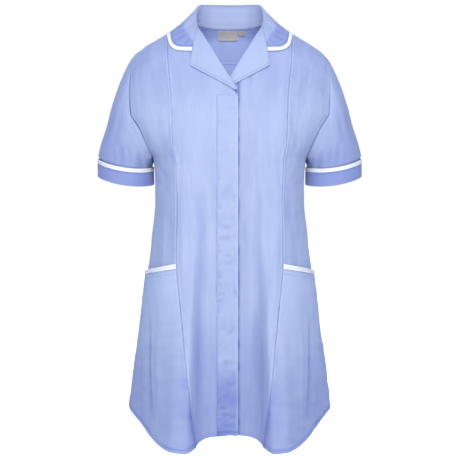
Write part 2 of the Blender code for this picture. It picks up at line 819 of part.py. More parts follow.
def make_sleeves():
    loop = armhole_loop()
    lowest = sum(1 for row in ROWS if row <= UNDERARM_ROW) - 1
    angles = loop_angles(loop, lowest)
    sleeve = sleeve_points(loop, angles)
    normals = -sheet_normals(sleeve, closed=True)
    top = CUFF_HEIGHT - PIPING_WIDTH - LAYER_GAP
    heights = [top, top / 2, 0]
    trim_heights = [CUFF_HEIGHT, CUFF_HEIGHT - PIPING_WIDTH / 2, CUFF_HEIGHT - PIPING_WIDTH]
    trim = cuff_rings(trim_heights, angles, PIPING_THICKNESS / 2)
    pieces = (
        ("sleeve", inset_ring(sleeve), inset_ring(sleeve - normals * WALL)),
        ("cuff", cuff_rings(heights, angles, CUFF_WALL), cuff_rings(heights, angles, 0)),
    )
    for name, outer, inner in pieces:
        wall_solid(f"{name}_left", outer, inner, BLUE, closed=True)
        wall_solid(f"{name}_right", mirrored(outer), mirrored(inner), BLUE, closed=True)
    trim_normals = -sheet_normals(trim, closed=True)
    strip_solid("cuff_piping_left", trim, trim_normals, PIPING_THICKNESS, WHITE, closed=True)
    trim, trim_normals = mirrored(trim), mirrored(trim_normals)
    strip_solid("cuff_piping_right", trim, trim_normals, PIPING_THICKNESS, WHITE, closed=True)


def inset_ring(tube):
    """A tube with its first ring drawn in from the seam."""
    drawn = tube.copy()
    step = tube[1] - tube[0]
    drawn[0] += step / np.linalg.norm(step, axis=-1, keepdims=True) * SEAM_INSET
    return drawn


def fold_profile(roll, tangent, out, edge, shares, start=None):
    """A line from under the fold, round the roll and on to the outer edge, or from a neck seam."""
    tangent = unit(tangent)
    out = unit(out - tangent * np.dot(out, tangent))
    up = np.cross(tangent, out)
    points = []
    under = roll - out * FOLD_RADIUS
    if start is None:
        start = under - up * FOLD_TUCK
    for t in (0, 0.35, 0.7):
        points.append(mix(start, under, t))
    for degrees in (0, 45, 90, 135):
        angle = math.radians(degrees)
        points.append(roll + FOLD_RADIUS * (up * math.sin(angle) - out * math.cos(angle)))
    over = roll + out * FOLD_RADIUS
    for t in shares:
        point = mix(over, edge, t) + out * FOLD_BULGE * math.sin(math.pi * t)
        points.append(held_clear(point, COLLAR_CLEAR))
    return points


def outside_level(point, clear):
    """Below zero inside the upper body swollen by a clearance, and above zero outside it."""
    x, y, z = point
    drop = ridge_at(abs(x)) + clear - z
    depth = abs(plain_depth(abs(x), z, y > 0)) + clear
    share = 1 - max(1 - drop / SHOULDER_ROUND, 0) ** 2
    return y * y - depth * depth * share


def held_clear(point, clear):
    """The point, pushed straight out of the body where it would come too near."""
    point = np.array(point, dtype=float)
    for _ in range(CLEARING_STEPS):
        level = outside_level(point, clear)
        if level >= 0:
            return point
        slope = np.array([outside_level(point + step, clear) - level for step in np.eye(3) * 0.2]) / 0.2
        point = point - slope * level / np.dot(slope, slope)
    return point


def plain_depth(x, z, behind):
    """The body's depth in front or behind where it is x wide, before the shoulder's cap."""
    low, high = 0.0, math.pi / 2
    for _ in range(HALVINGS):
        middle = (low + high) / 2
        if plain_section(middle, z)[0] < x:
            low = middle
        else:
            high = middle
    turn = math.pi - low if behind else low
    return plain_section(turn, z)[1]


def lapel_profiles():
    """Lines across the left lapel from the gorge to the break."""
    top, end = np.array(LAPEL_ROLL_TOP), np.array(LAPEL_ROLL_END)
    outer_x = column(LAPEL, "share", "outer_x")
    outer_z = column(LAPEL, "share", "outer_z")
    stations = [0, 0.1, 0.2, 0.3, 0.4, 0.5, 0.6, 0.7, 0.8, 0.93, 1]
    lift = FOLD_RADIUS - WALL / 2
    profiles = []
    for share in stations:
        seen = mix(top, end, share)
        ahead = mix(top, end, share + 0.02)
        behind = mix(top, end, share - 0.02)
        tangent = front_point(*ahead) - front_point(*behind)
        turn = turn_at(*seen)
        out = torso_normal(turn, seen[1])
        roll = torso(turn, seen[1]) + out * lift
        edge = front_point(outer_x(share), outer_z(share), COLLAR_CLEAR)
        profiles.append(fold_profile(roll, tangent, out, edge, LAPEL_SHARES))
    return np.array(profiles)


def collar_rail(values):
    """A smooth line through one column of the collar's stations, by index."""
    values = np.array(values, dtype=float)
    keys = range(len(values))
    return [Curve(keys, values[:, axis]) for axis in range(3)]


def collar_profiles(gorge):
    """Lines across half of the collar, from the centre back to the gorge of the left lapel."""
    edges = []
    for station in COLLAR:
        turn = turn_at(station.edge_x, station.edge_z)
        if station.behind:
            turn = math.pi - turn
        height = min(station.edge_z, ridge_at(station.edge_x))
        edges.append(torso(turn, height) + torso_normal(turn, height) * COLLAR_CLEAR)
    neck = collar_rail([s.neck for s in COLLAR] + [tuple(gorge[0])])
    gorge_roll = (gorge[3] + gorge[7]) / 2
    roll = collar_rail([s.roll for s in COLLAR] + [tuple(gorge_roll)])
    edge = collar_rail(edges + [tuple(gorge[-1])])
    count = len(COLLAR)
    profiles = []
    steps = count * COLLAR_STEPS_PER_STATION
    for i in range(steps):
        key = i / COLLAR_STEPS_PER_STATION
        at = np.array([rail(key) for rail in roll])
        tangent = np.array([rail(key + 0.1) - rail(max(key - 0.1, -key)) for rail in roll])
        if i == 0:
            tangent = np.array([1.0, 0, 0])
        flat = unit([tangent[1], -tangent[0], 0]) * -1
        gorge_out = gorge[7] - gorge[3]
        out = mix(flat, unit(gorge_out), smooth_step(key, count - 3, count))
        start = np.array([rail(key) for rail in neck])
        end = np.array([rail(key) for rail in edge])
        profiles.append(fold_profile(at, tangent, out, end, COLLAR_SHARES, start))
    profiles.append(gorge)
    return np.array(profiles)


def sheet_solid(name, grid, normals, thickness, paint, seams):
    outer = inset(grid + normals * thickness / 2, **seams)
    inner = inset(grid - normals * thickness / 2, **seams)
    return wall_solid(name, outer, inner, paint)


def make_lapels_and_collar():
    lapel = lapel_profiles()
    columns = lapel.shape[1] - len(LAPEL_SHARES) + len(COLLAR_SHARES)
    half = collar_profiles(lapel[0, :columns])
    collar = np.concatenate([mirrored(half[::-1]), half[1:]])
    normals = sheet_normals(collar)
    lapel_normals = sheet_normals(lapel)
    gorge = unit_rows(normals[-1] + lapel_normals[0, :columns])
    lapel_normals[0, :columns] = gorge
    normals[-1] = gorge
    normals[0] = mirrored(gorge)
    depth = [[underlap_shift(point) for point in line] for line in lapel]
    under = lapel + np.array(depth)[..., None] * np.array([0, 1.0, 0])
    seam = {"top": SEAM_INSET}
    sheet_solid("lapel_right", mirrored(lapel), mirrored(lapel_normals), WALL, BLUE, seam)
    sheet_solid("lapel_left", under, lapel_normals, WALL, BLUE, seam)
    sheet_solid("collar", collar, normals, COLLAR_WALL, BLUE, {"top": SEAM_INSET, "bottom": SEAM_INSET})
    make_collar_piping(collar, normals, lapel[0, columns - 1:])


def make_collar_piping(collar, collar_normals, lapel_edge):
    """The trim that carries the collar on past its outer edge, and ends beside the lapels."""
    edge = collar[:, -1]
    along = unit_rows(edge - collar[:, -2])
    beside = unit(collar[-2, -1] - collar[-1, -1])
    free = unit(lapel_edge[1] - lapel_edge[0])
    lines = []
    for distance in (PIPING_GAP, PIPING_WIDTH / 2, PIPING_WIDTH):
        line = edge + along * distance
        line[-1] = edge[-1] + free * distance + beside * PIPING_GAP
        line[0] = mirrored(line[-1])
        lines.append([held_clear(point, COLLAR_CLEAR) for point in line])
    grid = np.array(lines)
    strip_solid("collar_piping", grid, collar_normals[None, :, -1], PIPING_THICKNESS, WHITE)


def unit_rows(vectors):
    return vectors / np.linalg.norm(vectors, axis=-1, keepdims=True)


def label_places(label):
    places = []
    for z in np.linspace(label.top, label.bottom, label.rows + 1):
        line = []
        for x in np.linspace(label.left, label.right, label.columns + 1):
            turn = math.pi - abs(turn_at(x, z))
            line.append((math.copysign(turn, x), z))
        places.append(line)
    return places


def make_labels():
    depth = -(WALL + LABEL_GAP)
    for label in LABELS:
        places = label_places(label)
        torso_panel(label.name, places, {}, LABEL, outer=depth, thickness=LABEL_WALL)


def make_buttons():
    """Flat round buttons on the underlap, hidden by the placket."""
    for i in range(BUTTON_COUNT):
        z = BUTTON_TOP_Z - i * BUTTON_PITCH
        out = unit(torso_normal(BUTTON_TURN, z) * [0, 1, 1])
        up = unit(np.cross(out, [1.0, 0, 0]))
        seat = torso(0.0, z) - out * (UNDERLAP_DEPTH - LAYER_GAP)
        points = []
        for lift in (0, BUTTON_THICKNESS):
            for k in range(BUTTON_SIDES):
                angle = 2 * math.pi * k / BUTTON_SIDES
                spoke = np.array([1.0, 0, 0]) * math.cos(angle) + up * math.sin(angle)
                points.append(seat + out * lift + spoke * BUTTON_RADIUS)
        make_object(f"button_{i + 1}", points, disc_triangles(BUTTON_SIDES), BUTTON)


def disc_triangles(sides):
    """The faces of a flat disc whose two rings of points follow one another."""
    triangles = []
    for k in range(1, sides - 1):
        triangles += [(0, k, k + 1), (sides, sides + k + 1, sides + k)]
    for k in range(sides):
        following = (k + 1) % sides
        triangles += [(following, k, sides + k), (following, sides + k, sides + following)]
    return triangles


def clear_scene():
    for item in list(bpy.data.objects):
        bpy.data.objects.remove(item, do_unlink=True)


def main():
    clear_scene()
    make_fronts()
    make_side_fronts()
    make_back()
    make_sleeves()
    make_lapels_and_collar()
    make_labels()
    make_buttons()


main()
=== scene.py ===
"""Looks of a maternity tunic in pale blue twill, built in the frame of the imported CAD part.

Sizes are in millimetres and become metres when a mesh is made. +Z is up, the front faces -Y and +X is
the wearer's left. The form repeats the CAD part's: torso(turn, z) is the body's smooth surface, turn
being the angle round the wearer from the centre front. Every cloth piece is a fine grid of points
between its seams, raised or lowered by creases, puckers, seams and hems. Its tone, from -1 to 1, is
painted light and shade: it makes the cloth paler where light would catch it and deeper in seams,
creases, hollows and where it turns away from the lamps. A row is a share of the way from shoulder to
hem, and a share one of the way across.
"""
import math

import bpy
import numpy as np
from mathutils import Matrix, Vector


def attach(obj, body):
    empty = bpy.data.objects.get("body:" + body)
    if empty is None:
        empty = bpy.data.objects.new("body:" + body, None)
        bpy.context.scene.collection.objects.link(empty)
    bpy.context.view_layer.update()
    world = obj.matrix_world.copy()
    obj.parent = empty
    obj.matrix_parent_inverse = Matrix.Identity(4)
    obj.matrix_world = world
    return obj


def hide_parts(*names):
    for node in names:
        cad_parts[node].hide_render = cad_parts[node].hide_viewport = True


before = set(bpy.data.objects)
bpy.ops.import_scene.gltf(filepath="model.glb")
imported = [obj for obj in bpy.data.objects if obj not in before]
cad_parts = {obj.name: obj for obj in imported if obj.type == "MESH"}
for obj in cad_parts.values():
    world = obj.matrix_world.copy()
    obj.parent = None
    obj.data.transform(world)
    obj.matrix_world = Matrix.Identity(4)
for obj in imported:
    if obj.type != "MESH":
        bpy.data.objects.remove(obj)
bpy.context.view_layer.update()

MM = 0.001
FULL_TURN = 2 * math.pi

# Steps with which the form and the grids are found
HALVINGS = 26
TURN_STEP = 0.002
RISE_STEPS = (0.02, 0.5)
RIDGE_STEP = 0.5
CREST_DEPTH = 1.0
FRONT_LAST_TURN = math.radians(88)
EASE_STEP = 3.0
EASE_REACH = 3
SHARP_ANGLE = math.radians(48)
CLOSE_STEPS = np.array([0.4, 0.9, 1.6, 2.5, 4, 6])
LEAST_STEP = 0.25
EDGE_ROUNDING = 0.94
# The axis of each edge of a grid, its row there and the next one inward
EDGES = {"top": (0, 0, 1), "bottom": (0, -1, -2), "start": (1, 0, 1), "end": (1, -1, -2)}

# Cloth and making up, as in the CAD part
WALL = 1.2
CUFF_WALL = 2.0
COLLAR_WALL = 1.4
PIPING_WIDTH = 8.0
PIPING_THICKNESS = 2.2
PIPING_GAP = 0.6
SEAM_INSET = 0.1
LAYER_GAP = 0.3
LABEL_GAP = 1.4
LABEL_WALL = 0.8

# The body's form
SECTION_FULLNESS = 0.13
SHOULDER_ROUND = 50.0
FLUTE_TOP = -330.0
FLUTE_HEM = -790.0
FLUTE_GROWTH = 1.8
BUST_X = 80.0
BUST_Z = -232.0
BUST_RISE = 11.0
BUST_SPREAD = 42.0
BUST_ABOVE = 62.0
BUST_BELOW = 105.0

# Seams and rows
NECK_X = 71.0
PRINCESS_TOP_X = 122.0
PRINCESS_HEM_TURN = 16
UNDERARM_ROW = 0.31
UNDERARM_SHARE = 0.86
POCKET_ROW = 0.58
POCKET_EDGE_ROW = 0.5915
SIDE_SEAM_TURN = math.radians(92.0)
UNDERARM_Z = -266.0
POCKET_INNER_Z = -461.0
POCKET_OUTER_Z = -490.0
YOKE_CENTRE_Z = -70.0
YOKE_ARMHOLE_Z = -96.0
YOKE_ALONG = 0.17
YOKE_EDGE_BLEND = 0.2
BACK_UNDERARM_SHARE = 0.28
RIDGE_UNTIL_SHARE = 0.3
HEM_FROM_SHARE = 0.6
UNDERLAP_DEPTH = 7.5
UNDERLAP_FLAT = 2
UNDERLAP_BLEND = 45.0
UNDERLAP_LINE = 17.0
UNDERLAP_LINE_REACH = 2.2
PLACKET_TOP_ROW = 0.21
PLACKET_SHARE = 0.66
POCKET_ROOM_MIDDLE = 2.6
POCKET_ROOM_SIDE = 1.6
POCKET_ROOM_REACH = 50.0
POCKET_SEAM_REACH = 2.5

# Collar and lapels
FOLD_RADIUS = 2.0
FOLD_TUCK = 1.6
FOLD_BULGE = 1.5
COLLAR_CLEAR = 2.6
CLEARING_STEPS = 4
CLEARING_REACH = 0.2
LAPEL_ROLL_TOP = (62.0, -12.0)
LAPEL_ROLL_END = (-13.0, -133.0)
LAPEL_STEP = 0.02
GORGE_SHARE = 0.56
GORGE_STEP = 0.1
LAPEL_TUCKS = np.array([0, 0.35, 0.7])
LAPEL_NARROW_SPAN = (12, 26)
ROLL_STEP = 15
COLLAR_STEP = 0.1
COLLAR_LINES = 15
COLLAR_LAST_KEYS = np.array([0.05, 0.02])
COLLAR_TURN_STATIONS = 3
COLLAR_JOIN_STATIONS = 0.6

# Sleeves and cuffs
CUFF_CENTRE = (206.5, -2.0, -307.0)
CUFF_HALF_WIDTH = 54.0
CUFF_HALF_DEPTH = 52.8
CUFF_TILT = 8.5
CUFF_FRONT_DIP = 5.0
CUFF_LEAN = 3.0
CUFF_HEIGHT = 35.0
SLEEVE_UNDER_CUFF = 12.0
SLEEVE_NARROWING = 2.8
SLEEVE_START_OUT = (0.34, -0.065, 0.195)
SLEEVE_START_FORWARD = 0.25
SLEEVE_START_DOWN = 0.87
SLEEVE_END_OUT = (0.06, 0.08)
RING_ANGLES = np.linspace(0, FULL_TURN, 128, endpoint=False)
SLEEVE_DEGREE = 0.95
SLEEVE_DOWN = 150.0
RING_AROUND = np.degrees(RING_ANGLES) * SLEEVE_DEGREE
# How the sleeve is filled out above its cuff, and how much less inside
SLEEVE_FILL = (2.2, 3.6)
SLEEVE_STEP_SPAN = (0.3, 4.5)
SLEEVE_FADE_SPAN = (12, 75)
SLEEVE_INSIDE = 0.7
INSIDE_SPAN = (0.2, 0.9)

# Buttons under the placket
BUTTON_RADIUS = 7.0
BUTTON_THICKNESS = 2.4
BUTTON_TOP_Z = -190.0
BUTTON_PITCH = 100.0
BUTTON_COUNT = 6
BUTTON_TURN = 0.01
BUTTON_SIDES = 32
# From below, as shares of the button's radius and of its thickness
BUTTON_PROFILE = [
    (0.02, 0.0), (0.9, 0.0), (1.0, 0.25), (1.0, 0.7), (0.92, 1.0),
    (0.8, 0.98), (0.7, 0.72), (0.4, 0.66), (0.02, 0.66),
]

# Painted shade and light by panel and place: how much deeper each is painted where it turns away from the
# lamps, lies low or lies in hollows, and below zero how much paler where light would catch it
SLEEVE_TONE = 0.34
CUFF_TONE = 0.5
FALL_TONE = 0.42
POCKET_TONE = 0.25
MOUTH_TONE = -0.35
SHOULDER_TONE = 0.2
LOW_TONE = 0.26
BAND_TONE = 0.58
HOLLOW_PAINTED_SHADE = 0.07
BAND_HOLLOW_PAINTED_SHADE = 0.11
OUTER_TONE = 0.11
CORNER_TONE = 0.85
SIDE_TONES = (0.18, -0.46)
# Where those tones begin and are full: heights, distances, or turns in degrees
SHOULDER_SPAN = (-190, -90)
CORNER_REACH = 9
SIDE_SPAN = (170, 260)
LOW_SPAN = (520, 660)
LOW_TURNS = (15, 24)
OUTER_SPAN = (540, 650)
OUTER_TURNS = (48, 66)
BAND_SPAN = (630, 705)
CORNER_SPAN = (660, 795)
MOUTH_SPAN = (10, 260)
SETTLED_SPAN = (0, 30)
FALL_SPAN = (40, 50)

# Sewing, and how pieces lie beside and over each other
HEM_STITCH = 7.4
BAND_STITCH = 1.8
BAND_SINK = 0.6
POCKET_SINK = 0.5
BESIDE_POCKET = 1.2
BESIDE_POCKET_REACH = 5
POCKET_STITCHES = (2.2, 8.0)
BAND_TOP_STITCHES = (2.0, 11.5)
ARMHOLE_STITCH = 5.5
YOKE_STITCH = 1.8
LAPEL_STITCH = 4.5
CUFF_STITCH = 1.6
LABEL_STITCH = 1.2
COLLAR_STITCH = 2.0
STAND_STITCH = 11.0
PIPING_END_REACH = 22.0
COLLAR_TAPE = 9.2
TAPE_STEPS = np.array(
    [0, 0.03, 0.08, 0.14, 0.22, 0.34, 0.42, 0.5, 0.58, 0.66, 0.78, 0.86, 0.92, 0.97, 1]
)

# Uneven lines and fields, and the form of a crease
RIPPLE_KNOTS = 4096
RIPPLE_START = 2000
MOTTLE_KNOTS = 128
CREASE_BANKS = 0.55
CREASE_FALL = 0.8
CREASE_ENDS = 0.6
CREASE_TURN_STEP = 0.01

# Creases: a path, its width and its depth, which is below zero for a ridge
# On the body a path is given by turns in degrees and heights
BODY_CREASES = [
    (
        [(33.8, -274), (33.8, -340), (31.3, -416), (28.0, -500), (24.5, -583), (21.5, -676), (19.0, -752)],
        10, -2.2,
    ),
    ([(19.5, -321), (16.5, -434), (17.2, -529), (17.0, -623), (15.5, -719)], 17, 3.0),
    ([(12.0, -246), (13.8, -340), (13.0, -434), (12.0, -586)], 12, -1.2),
    ([(61.5, -566), (55.8, -649), (50.8, -714), (47.6, -762)], 10.0, 4.6),
    ([(73.8, -583), (67.5, -635), (61.8, -691), (56.2, -746)], 8, -1.5),
    ([(47.5, -588), (45.0, -645), (42.0, -700), (39.5, -755)], 8, -1.5),
    ([(40.0, -710), (37.2, -784)], 3.2, 1.2),
    ([(22.0, -704), (20.5, -740), (17.8, -800)], 8, 1.5),
    ([(36.2, -70), (32.8, -96), (29.8, -121)], 9, 0.8),
    ([(43.5, -85), (37.5, -124), (35.2, -167)], 10, 0.8),
    ([(41.2, -212), (44.5, -246), (38.5, -280)], 10, 0.9),
    ([(70.0, -266), (58.2, -288), (44.8, -310)], 9, 1.2),
    ([(80.0, -301), (57.5, -315), (42.5, -327)], 9, 1.0),
    ([(72.0, -363), (56.0, -372), (43.8, -377)], 9, 0.9),
    ([(65.0, -404), (51.8, -410), (43.2, -413)], 9, 0.7),
    ([(49.8, -322), (46.5, -369), (45.2, -417)], 12, 0.8),
    ([(14.8, -152), (17.5, -200), (23.2, -246)], 12, 0.8),
    ([(84.0, -420), (80.0, -520), (78.0, -640), (77.0, -740)], 12, 1.6),
]
BACK_DEPTH = 1.5
BACK_CREASES = [
    ([(165, -420), (163, -530), (160, -640), (158, -760)], 16, 3.4),
    ([(192, -440), (195, -560), (199, -660), (201, -765)], 17, 3.2),
    ([(180, -380), (179, -480), (181, -600)], 14, -1.6),
    ([(140, -460), (136, -580), (132, -700)], 11, 2.6),
    ([(222, -480), (226, -600), (229, -720)], 12, 2.4),
    ([(112, -520), (109, -620), (107, -730)], 9, 2.0),
    ([(250, -500), (253, -610), (254, -735)], 9, 2.2),
    ([(104, -290), (125, -315), (150, -325)], 10, 1.4),
    ([(256, -292), (236, -312), (212, -330)], 10, 1.4),
    ([(100, -352), (128, -366), (160, -372)], 10, 1.2),
    ([(260, -356), (238, -362), (206, -376)], 10, 1.2),
    ([(118, -130), (127, -180), (140, -225)], 12, 1.2),
    ([(242, -128), (232, -184), (221, -222)], 12, 1.2),
    ([(150, -100), (155, -160), (168, -205)], 14, 0.8),
]
YOKE_CREASES = [
    ([(183.6, -26), (183.8, -44), (183.4, -62)], 4.5, -1.4),
    ([(172, -24), (170, -42), (167, -58)], 8, 0.7),
    ([(120, -62), (126, -52), (134, -40)], 9, 0.9),
    ([(240, -64), (233, -52), (225, -42)], 9, 0.9),
]
# Creases of the placket: x from the centre, heights
BAND_DEPTH = 2.2
PLACKET_CREASES = [
    ([(20, -389), (9, -392), (-4, -394)], 6.5, 0.8),
    ([(21, -413), (10, -414), (-1, -412)], 4.0, 0.9),
    ([(22, -437), (17, -438), (12, -437)], 3.0, 0.6),
    ([(15, -443), (6, -446), (-4, -444)], 3.5, 0.6),
    ([(11, -460), (3, -461), (-7, -459)], 3.5, 0.6),
    ([(22, -474), (18, -482), (20, -492)], 4.0, 0.7),
    ([(23, -497), (18, -503), (13, -508)], 4.0, 0.8),
    ([(22, -519), (16, -520), (9, -518)], 3.5, 0.7),
    ([(22, -535), (18, -536), (14, -535)], 3.0, 0.6),
    ([(-8, -508), (-11, -517), (-13, -528)], 4.0, 0.7),
    ([(13, -650), (1, -651), (-12, -650)], 5.0, 0.7),
    ([(7, -600), (-1, -592), (-10, -582)], 5.0, 0.7),
    ([(22, -736), (15, -738), (7, -736)], 3.5, 0.7),
    ([(22, -747), (6, -752), (-13, -757)], 4.5, 0.8),
    ([(22, -756), (10, -761), (-2, -763)], 4.0, 0.6),
    ([(19, -766), (3, -770), (-13, -772)], 4.0, 0.7),
    ([(4, -640), (8, -655), (5, -672)], 7.0, 0.5),
    ([(-12, -686), (-2, -692), (9, -690)], 5.0, 0.5),
    ([(18, -712), (8, -715), (-2, -712)], 4.5, 0.5),
    ([(19, -560), (12, -575), (9, -592)], 6.0, 0.5),
    ([(-3, -300), (4, -322), (10, -340)], 7.0, 0.5),
    ([(15, -215), (9, -236), (4, -262)], 7.0, 0.4),
]
# Creases of the sleeves: angle round the cuff in degrees, share of the way down
SLEEVE_CREASES = [
    ([(78, 0.55), (84, 0.72), (88, 0.9)], 8, 2.0),
    ([(66, 0.72), (68, 0.84), (69, 0.95)], 5, 1.0),
    ([(98, 0.5), (101, 0.7), (104, 0.88)], 7, 1.5),
    ([(118, 0.35), (124, 0.6), (128, 0.85)], 8, 1.8),
    ([(145, 0.2), (150, 0.5), (156, 0.8)], 8, 1.8),
    ([(58, 0.25), (60, 0.45), (64, 0.68)], 9, 1.2),
    ([(36, 0.4), (34, 0.6), (33, 0.82)], 9, 1.2),
    ([(12, 0.5), (8, 0.7), (6, 0.9)], 9, 1.0),
    ([(205, 0.2), (212, 0.5), (216, 0.82)], 8, 1.8),
    ([(238, 0.4), (244, 0.6), (246, 0.85)], 8, 1.6),
    ([(272, 0.45), (276, 0.65), (275, 0.88)], 8, 1.6),
    ([(304, 0.3), (310, 0.55), (312, 0.75)], 9, 1.2),
    ([(338, 0.5), (342, 0.7), (345, 0.9)], 9, 1.0),
    ([(90, 0.08), (110, 0.16), (135, 0.22)], 9, 1.0),
    ([(262, 0.08), (240, 0.16), (222, 0.24)], 9, 1.0),
]
# Creases of the collar: distance from its centre back, distance from the neck seam
COLLAR_CREASES = [
    ([(108, 48), (126, 66), (148, 84)], 7, 1.9),
    ([(136, 44), (152, 60), (168, 76)], 6, 1.6),
    ([(90, 56), (100, 76), (112, 94)], 8, 1.5),
    ([(162, 38), (172, 52), (182, 66)], 5, 1.3),
    ([(60, 62), (64, 78), (70, 92)], 9, 0.7),
    ([(18, 60), (20, 80), (24, 96)], 10, 0.6),
    ([(30, 20), (60, 24), (90, 22)], 6, 0.5),
    ([(188, 50), (198, 66), (208, 86)], 5, 1.3),
    ([(214, 50), (224, 64), (230, 80)], 4.5, 1.1),
    ([(238, 50), (243, 60), (246, 72)], 4, 0.8),
]
# Each label's name, left, right, top and bottom
LABELS = [("neck_label", -24, 17, -5, -24), ("size_tab", 19, 34, -5, -14)]

# Weaves, as ribs and breaks a metre, and threads
TWILL_WEAVE = (1700.0, 2300.0)
TAPE_WEAVE = (1500.0, 2100.0)
LABEL_WEAVE = (2400.0, 2400.0)
STREAK_STRETCH = (1.0, 0.05, 1.0)
STITCH_PITCH = 3.0
STITCH_MARGIN = 0.6 * STITCH_PITCH
STITCH_LENGTH = 2.3
STITCH_RADIUS = 0.24
STITCH_SIDES = 6
# A stitch's rings: share of its length, its width there and its height, in radii of the thread
STITCH_SHAPE = [(0.0, 0.3, -0.9), (0.2, 0.9, 0.3), (0.8, 0.9, 0.3), (1.0, 0.3, -0.9)]

# Colours
CLOTH_COLOUR = (0.378, 0.442, 0.63, 1.0)
CLOTH_SHADE = (0.345, 0.408, 0.61, 1.0)
# Pale for the cloth's own streaks and flecks and for painted light; the deep colour is painted shade; the
# tone lays on both
CLOTH_PALE = (0.54, 0.62, 0.82, 1.0)
CLOTH_PAINTED_SHADE = (0.09, 0.13, 0.46, 1.0)
# Painted shade for the inner faces: a deeper, more saturated blue, as the inside looks in shade
CLOTH_INSIDE_SHADE = (0.40, 0.49, 0.86, 1.0)
TAPE_COLOUR = (0.96, 0.95, 0.93, 1.0)
TAPE_SHADE = (0.93, 0.92, 0.91, 1.0)
# Painted shade for the tape, laid on by its tone
TAPE_PAINTED_SHADE = (0.55, 0.57, 0.68, 1.0)
LABEL_COLOUR = (0.60, 0.575, 0.53, 1.0)
LABEL_SHADE = (0.54, 0.52, 0.485, 1.0)
BUTTON_COLOUR = (0.50, 0.58, 0.86, 1.0)
BUTTON_SHADE = (0.44, 0.52, 0.82, 1.0)
THREAD_COLOUR = (0.42, 0.52, 0.87, 1.0)
THREAD_SHADE = (0.33, 0.43, 0.80, 1.0)
WHITE_THREAD = (0.88, 0.88, 0.92, 1.0)
WHITE_THREAD_SHADE = (0.78, 0.79, 0.86, 1.0)

# The floor, in millimetres
FLOOR_Z = -1150.0
FLOOR_CORNERS = [(-6000, -2600), (6000, 9000)]
FLOOR_COLOUR = (0.9, 0.9, 0.9, 1.0)
FLOOR_SHADE = (0.88, 0.88, 0.89, 1.0)
# The light and the camera, in metres
WORLD_COLOUR = (0.59, 0.72, 1.12, 1.0)
WORLD_STRENGTH = 0.62
LAMP_COLOUR = (1.0, 0.98, 0.87)
CAMERA_TARGET = (0, 0, -0.406)
CAMERA_DISTANCE = 2.3
CAMERA_ELEVATION = 4.0
CAMERA_SENSOR = 36.0
CAMERA_LENS = 90.0
CAMERA_SHIFT = (0.3 / 460, 0.0)
# Each lamp's name, place, target, size, power, and whether the cloth's gloss shows it
LAMPS = [
    ("key", (0, -1.7, 1.0), (0, 0, -0.3), (0.9, 0.7), 23.0, False),
    ("front", (0, -1.95, 0.2), (0, 0, -0.3), (0.6, 0.7), 15.0, True),
    ("rear", (0, 2.1, 0.9), (0, 0, -0.3), (0.9, 0.7), 40.0, False),
]

# The body's sections: height, half width, depth in front and its fullness, depth behind
BODY = [
    (60, 215, 44, 0.13, 60),
    (0, 215, 50, 0.13, 66),
    (-30, 215, 62, 0.13, 74),
    (-66, 215, 80, 0.13, 84),
    (-120, 215, 101, 0.13, 96),
    (-174, 212, 118, 0.18, 104),
    (-202, 195, 124, 0.24, 107),
    (-246, 163, 130, 0.36, 109),
    (-266, 151, 131, 0.41, 109),
    (-310, 147, 132, 0.49, 109),
    (-346, 147.3, 132, 0.52, 109),
    (-406, 153.3, 132, 0.52, 111),
    (-446, 158, 133, 0.5, 114),
    (-506, 167.5, 133, 0.47, 120),
    (-587, 177.8, 134, 0.42, 130),
    (-669, 190, 134, 0.36, 140),
    (-757, 200.5, 135, 0.3, 148),
    (-830, 209, 135, 0.3, 153),
]
# The shoulder's ridge and the neck seam behind: x, z
SHOULDER_RIDGE = [
    (0, 28), (32, 20), (56, 8), (71, 0), (95, -7.5), (112, -13.5), (130, -21.5), (144, -29.5),
    (158, -37.5), (170, -45.5), (180, -53), (190, -61.5), (197, -70), (230, -125),
]
BACK_NECK = [(0, -3), (32, -2.5), (56, -1), (66, -0.3), (71, 0)]
# The hem: turn in degrees, x, y, z
HEM = [
    (0, 0, -134, -790),
    (8, 33, -135, -793.5),
    (13, 48, -140, -797.5),
    (16, 58, -150, -803),
    (19, 67, -173, -808),
    (23, 82, -197, -811.5),
    (29, 104, -194, -810),
    (37, 129, -168, -804.5),
    (46, 148, -141, -794),
    (55, 162, -114, -784),
    (64, 174, -90, -775),
    (74, 191, -60, -765),
    (84, 202, -28, -760),
    (92, 205, 0, -758),
    (105, 203, 38, -758),
    (120, 183, 79, -762),
    (133, 154, 107, -767),
    (144, 126, 140, -773),
    (154, 93, 160, -777),
    (165, 54, 152, -777),
    (173, 26, 146, -776),
    (180, 0, 149, -776),
]
# The princess seam: z, x
PRINCESS_SEAM = [
    (-18, 122), (-63, 119.5), (-152, 111), (-228, 108), (-274, 101.5), (-340, 99.5),
    (-458, 101), (-530, 94.5), (-606, 86.5), (-680, 79), (-806, 64.5),
]
# The armhole: share of the way down, turn from the side in degrees, z
ARMHOLE = [
    (0, 27, -69), (0.0765, 28, -77), (0.17, 29, -96), (0.27, 29, -119), (0.496, 28.5, -176),
    (0.62, 29, -204), (0.743, 24, -232), (0.82, 19.5, -246.5), (0.895, 14.5, -258), (1, 0, -266),
]
# The wearer's left front edge and the line of the placket's stitching: row, x, z
FRONT_EDGE = [
    (0, 71, 0), (0.009, 70, -5), (0.033, 65.7, -14.3),
    (0.19, -11, -138), (0.21, -16, -144), (1, -16, -790),
]
PLACKET_LINE = [
    (0, 88, -5), (0.009, 87, -10), (0.033, 83, -29),
    (0.19, 24, -137), (0.21, 24, -143), (1, 24, -792),
]
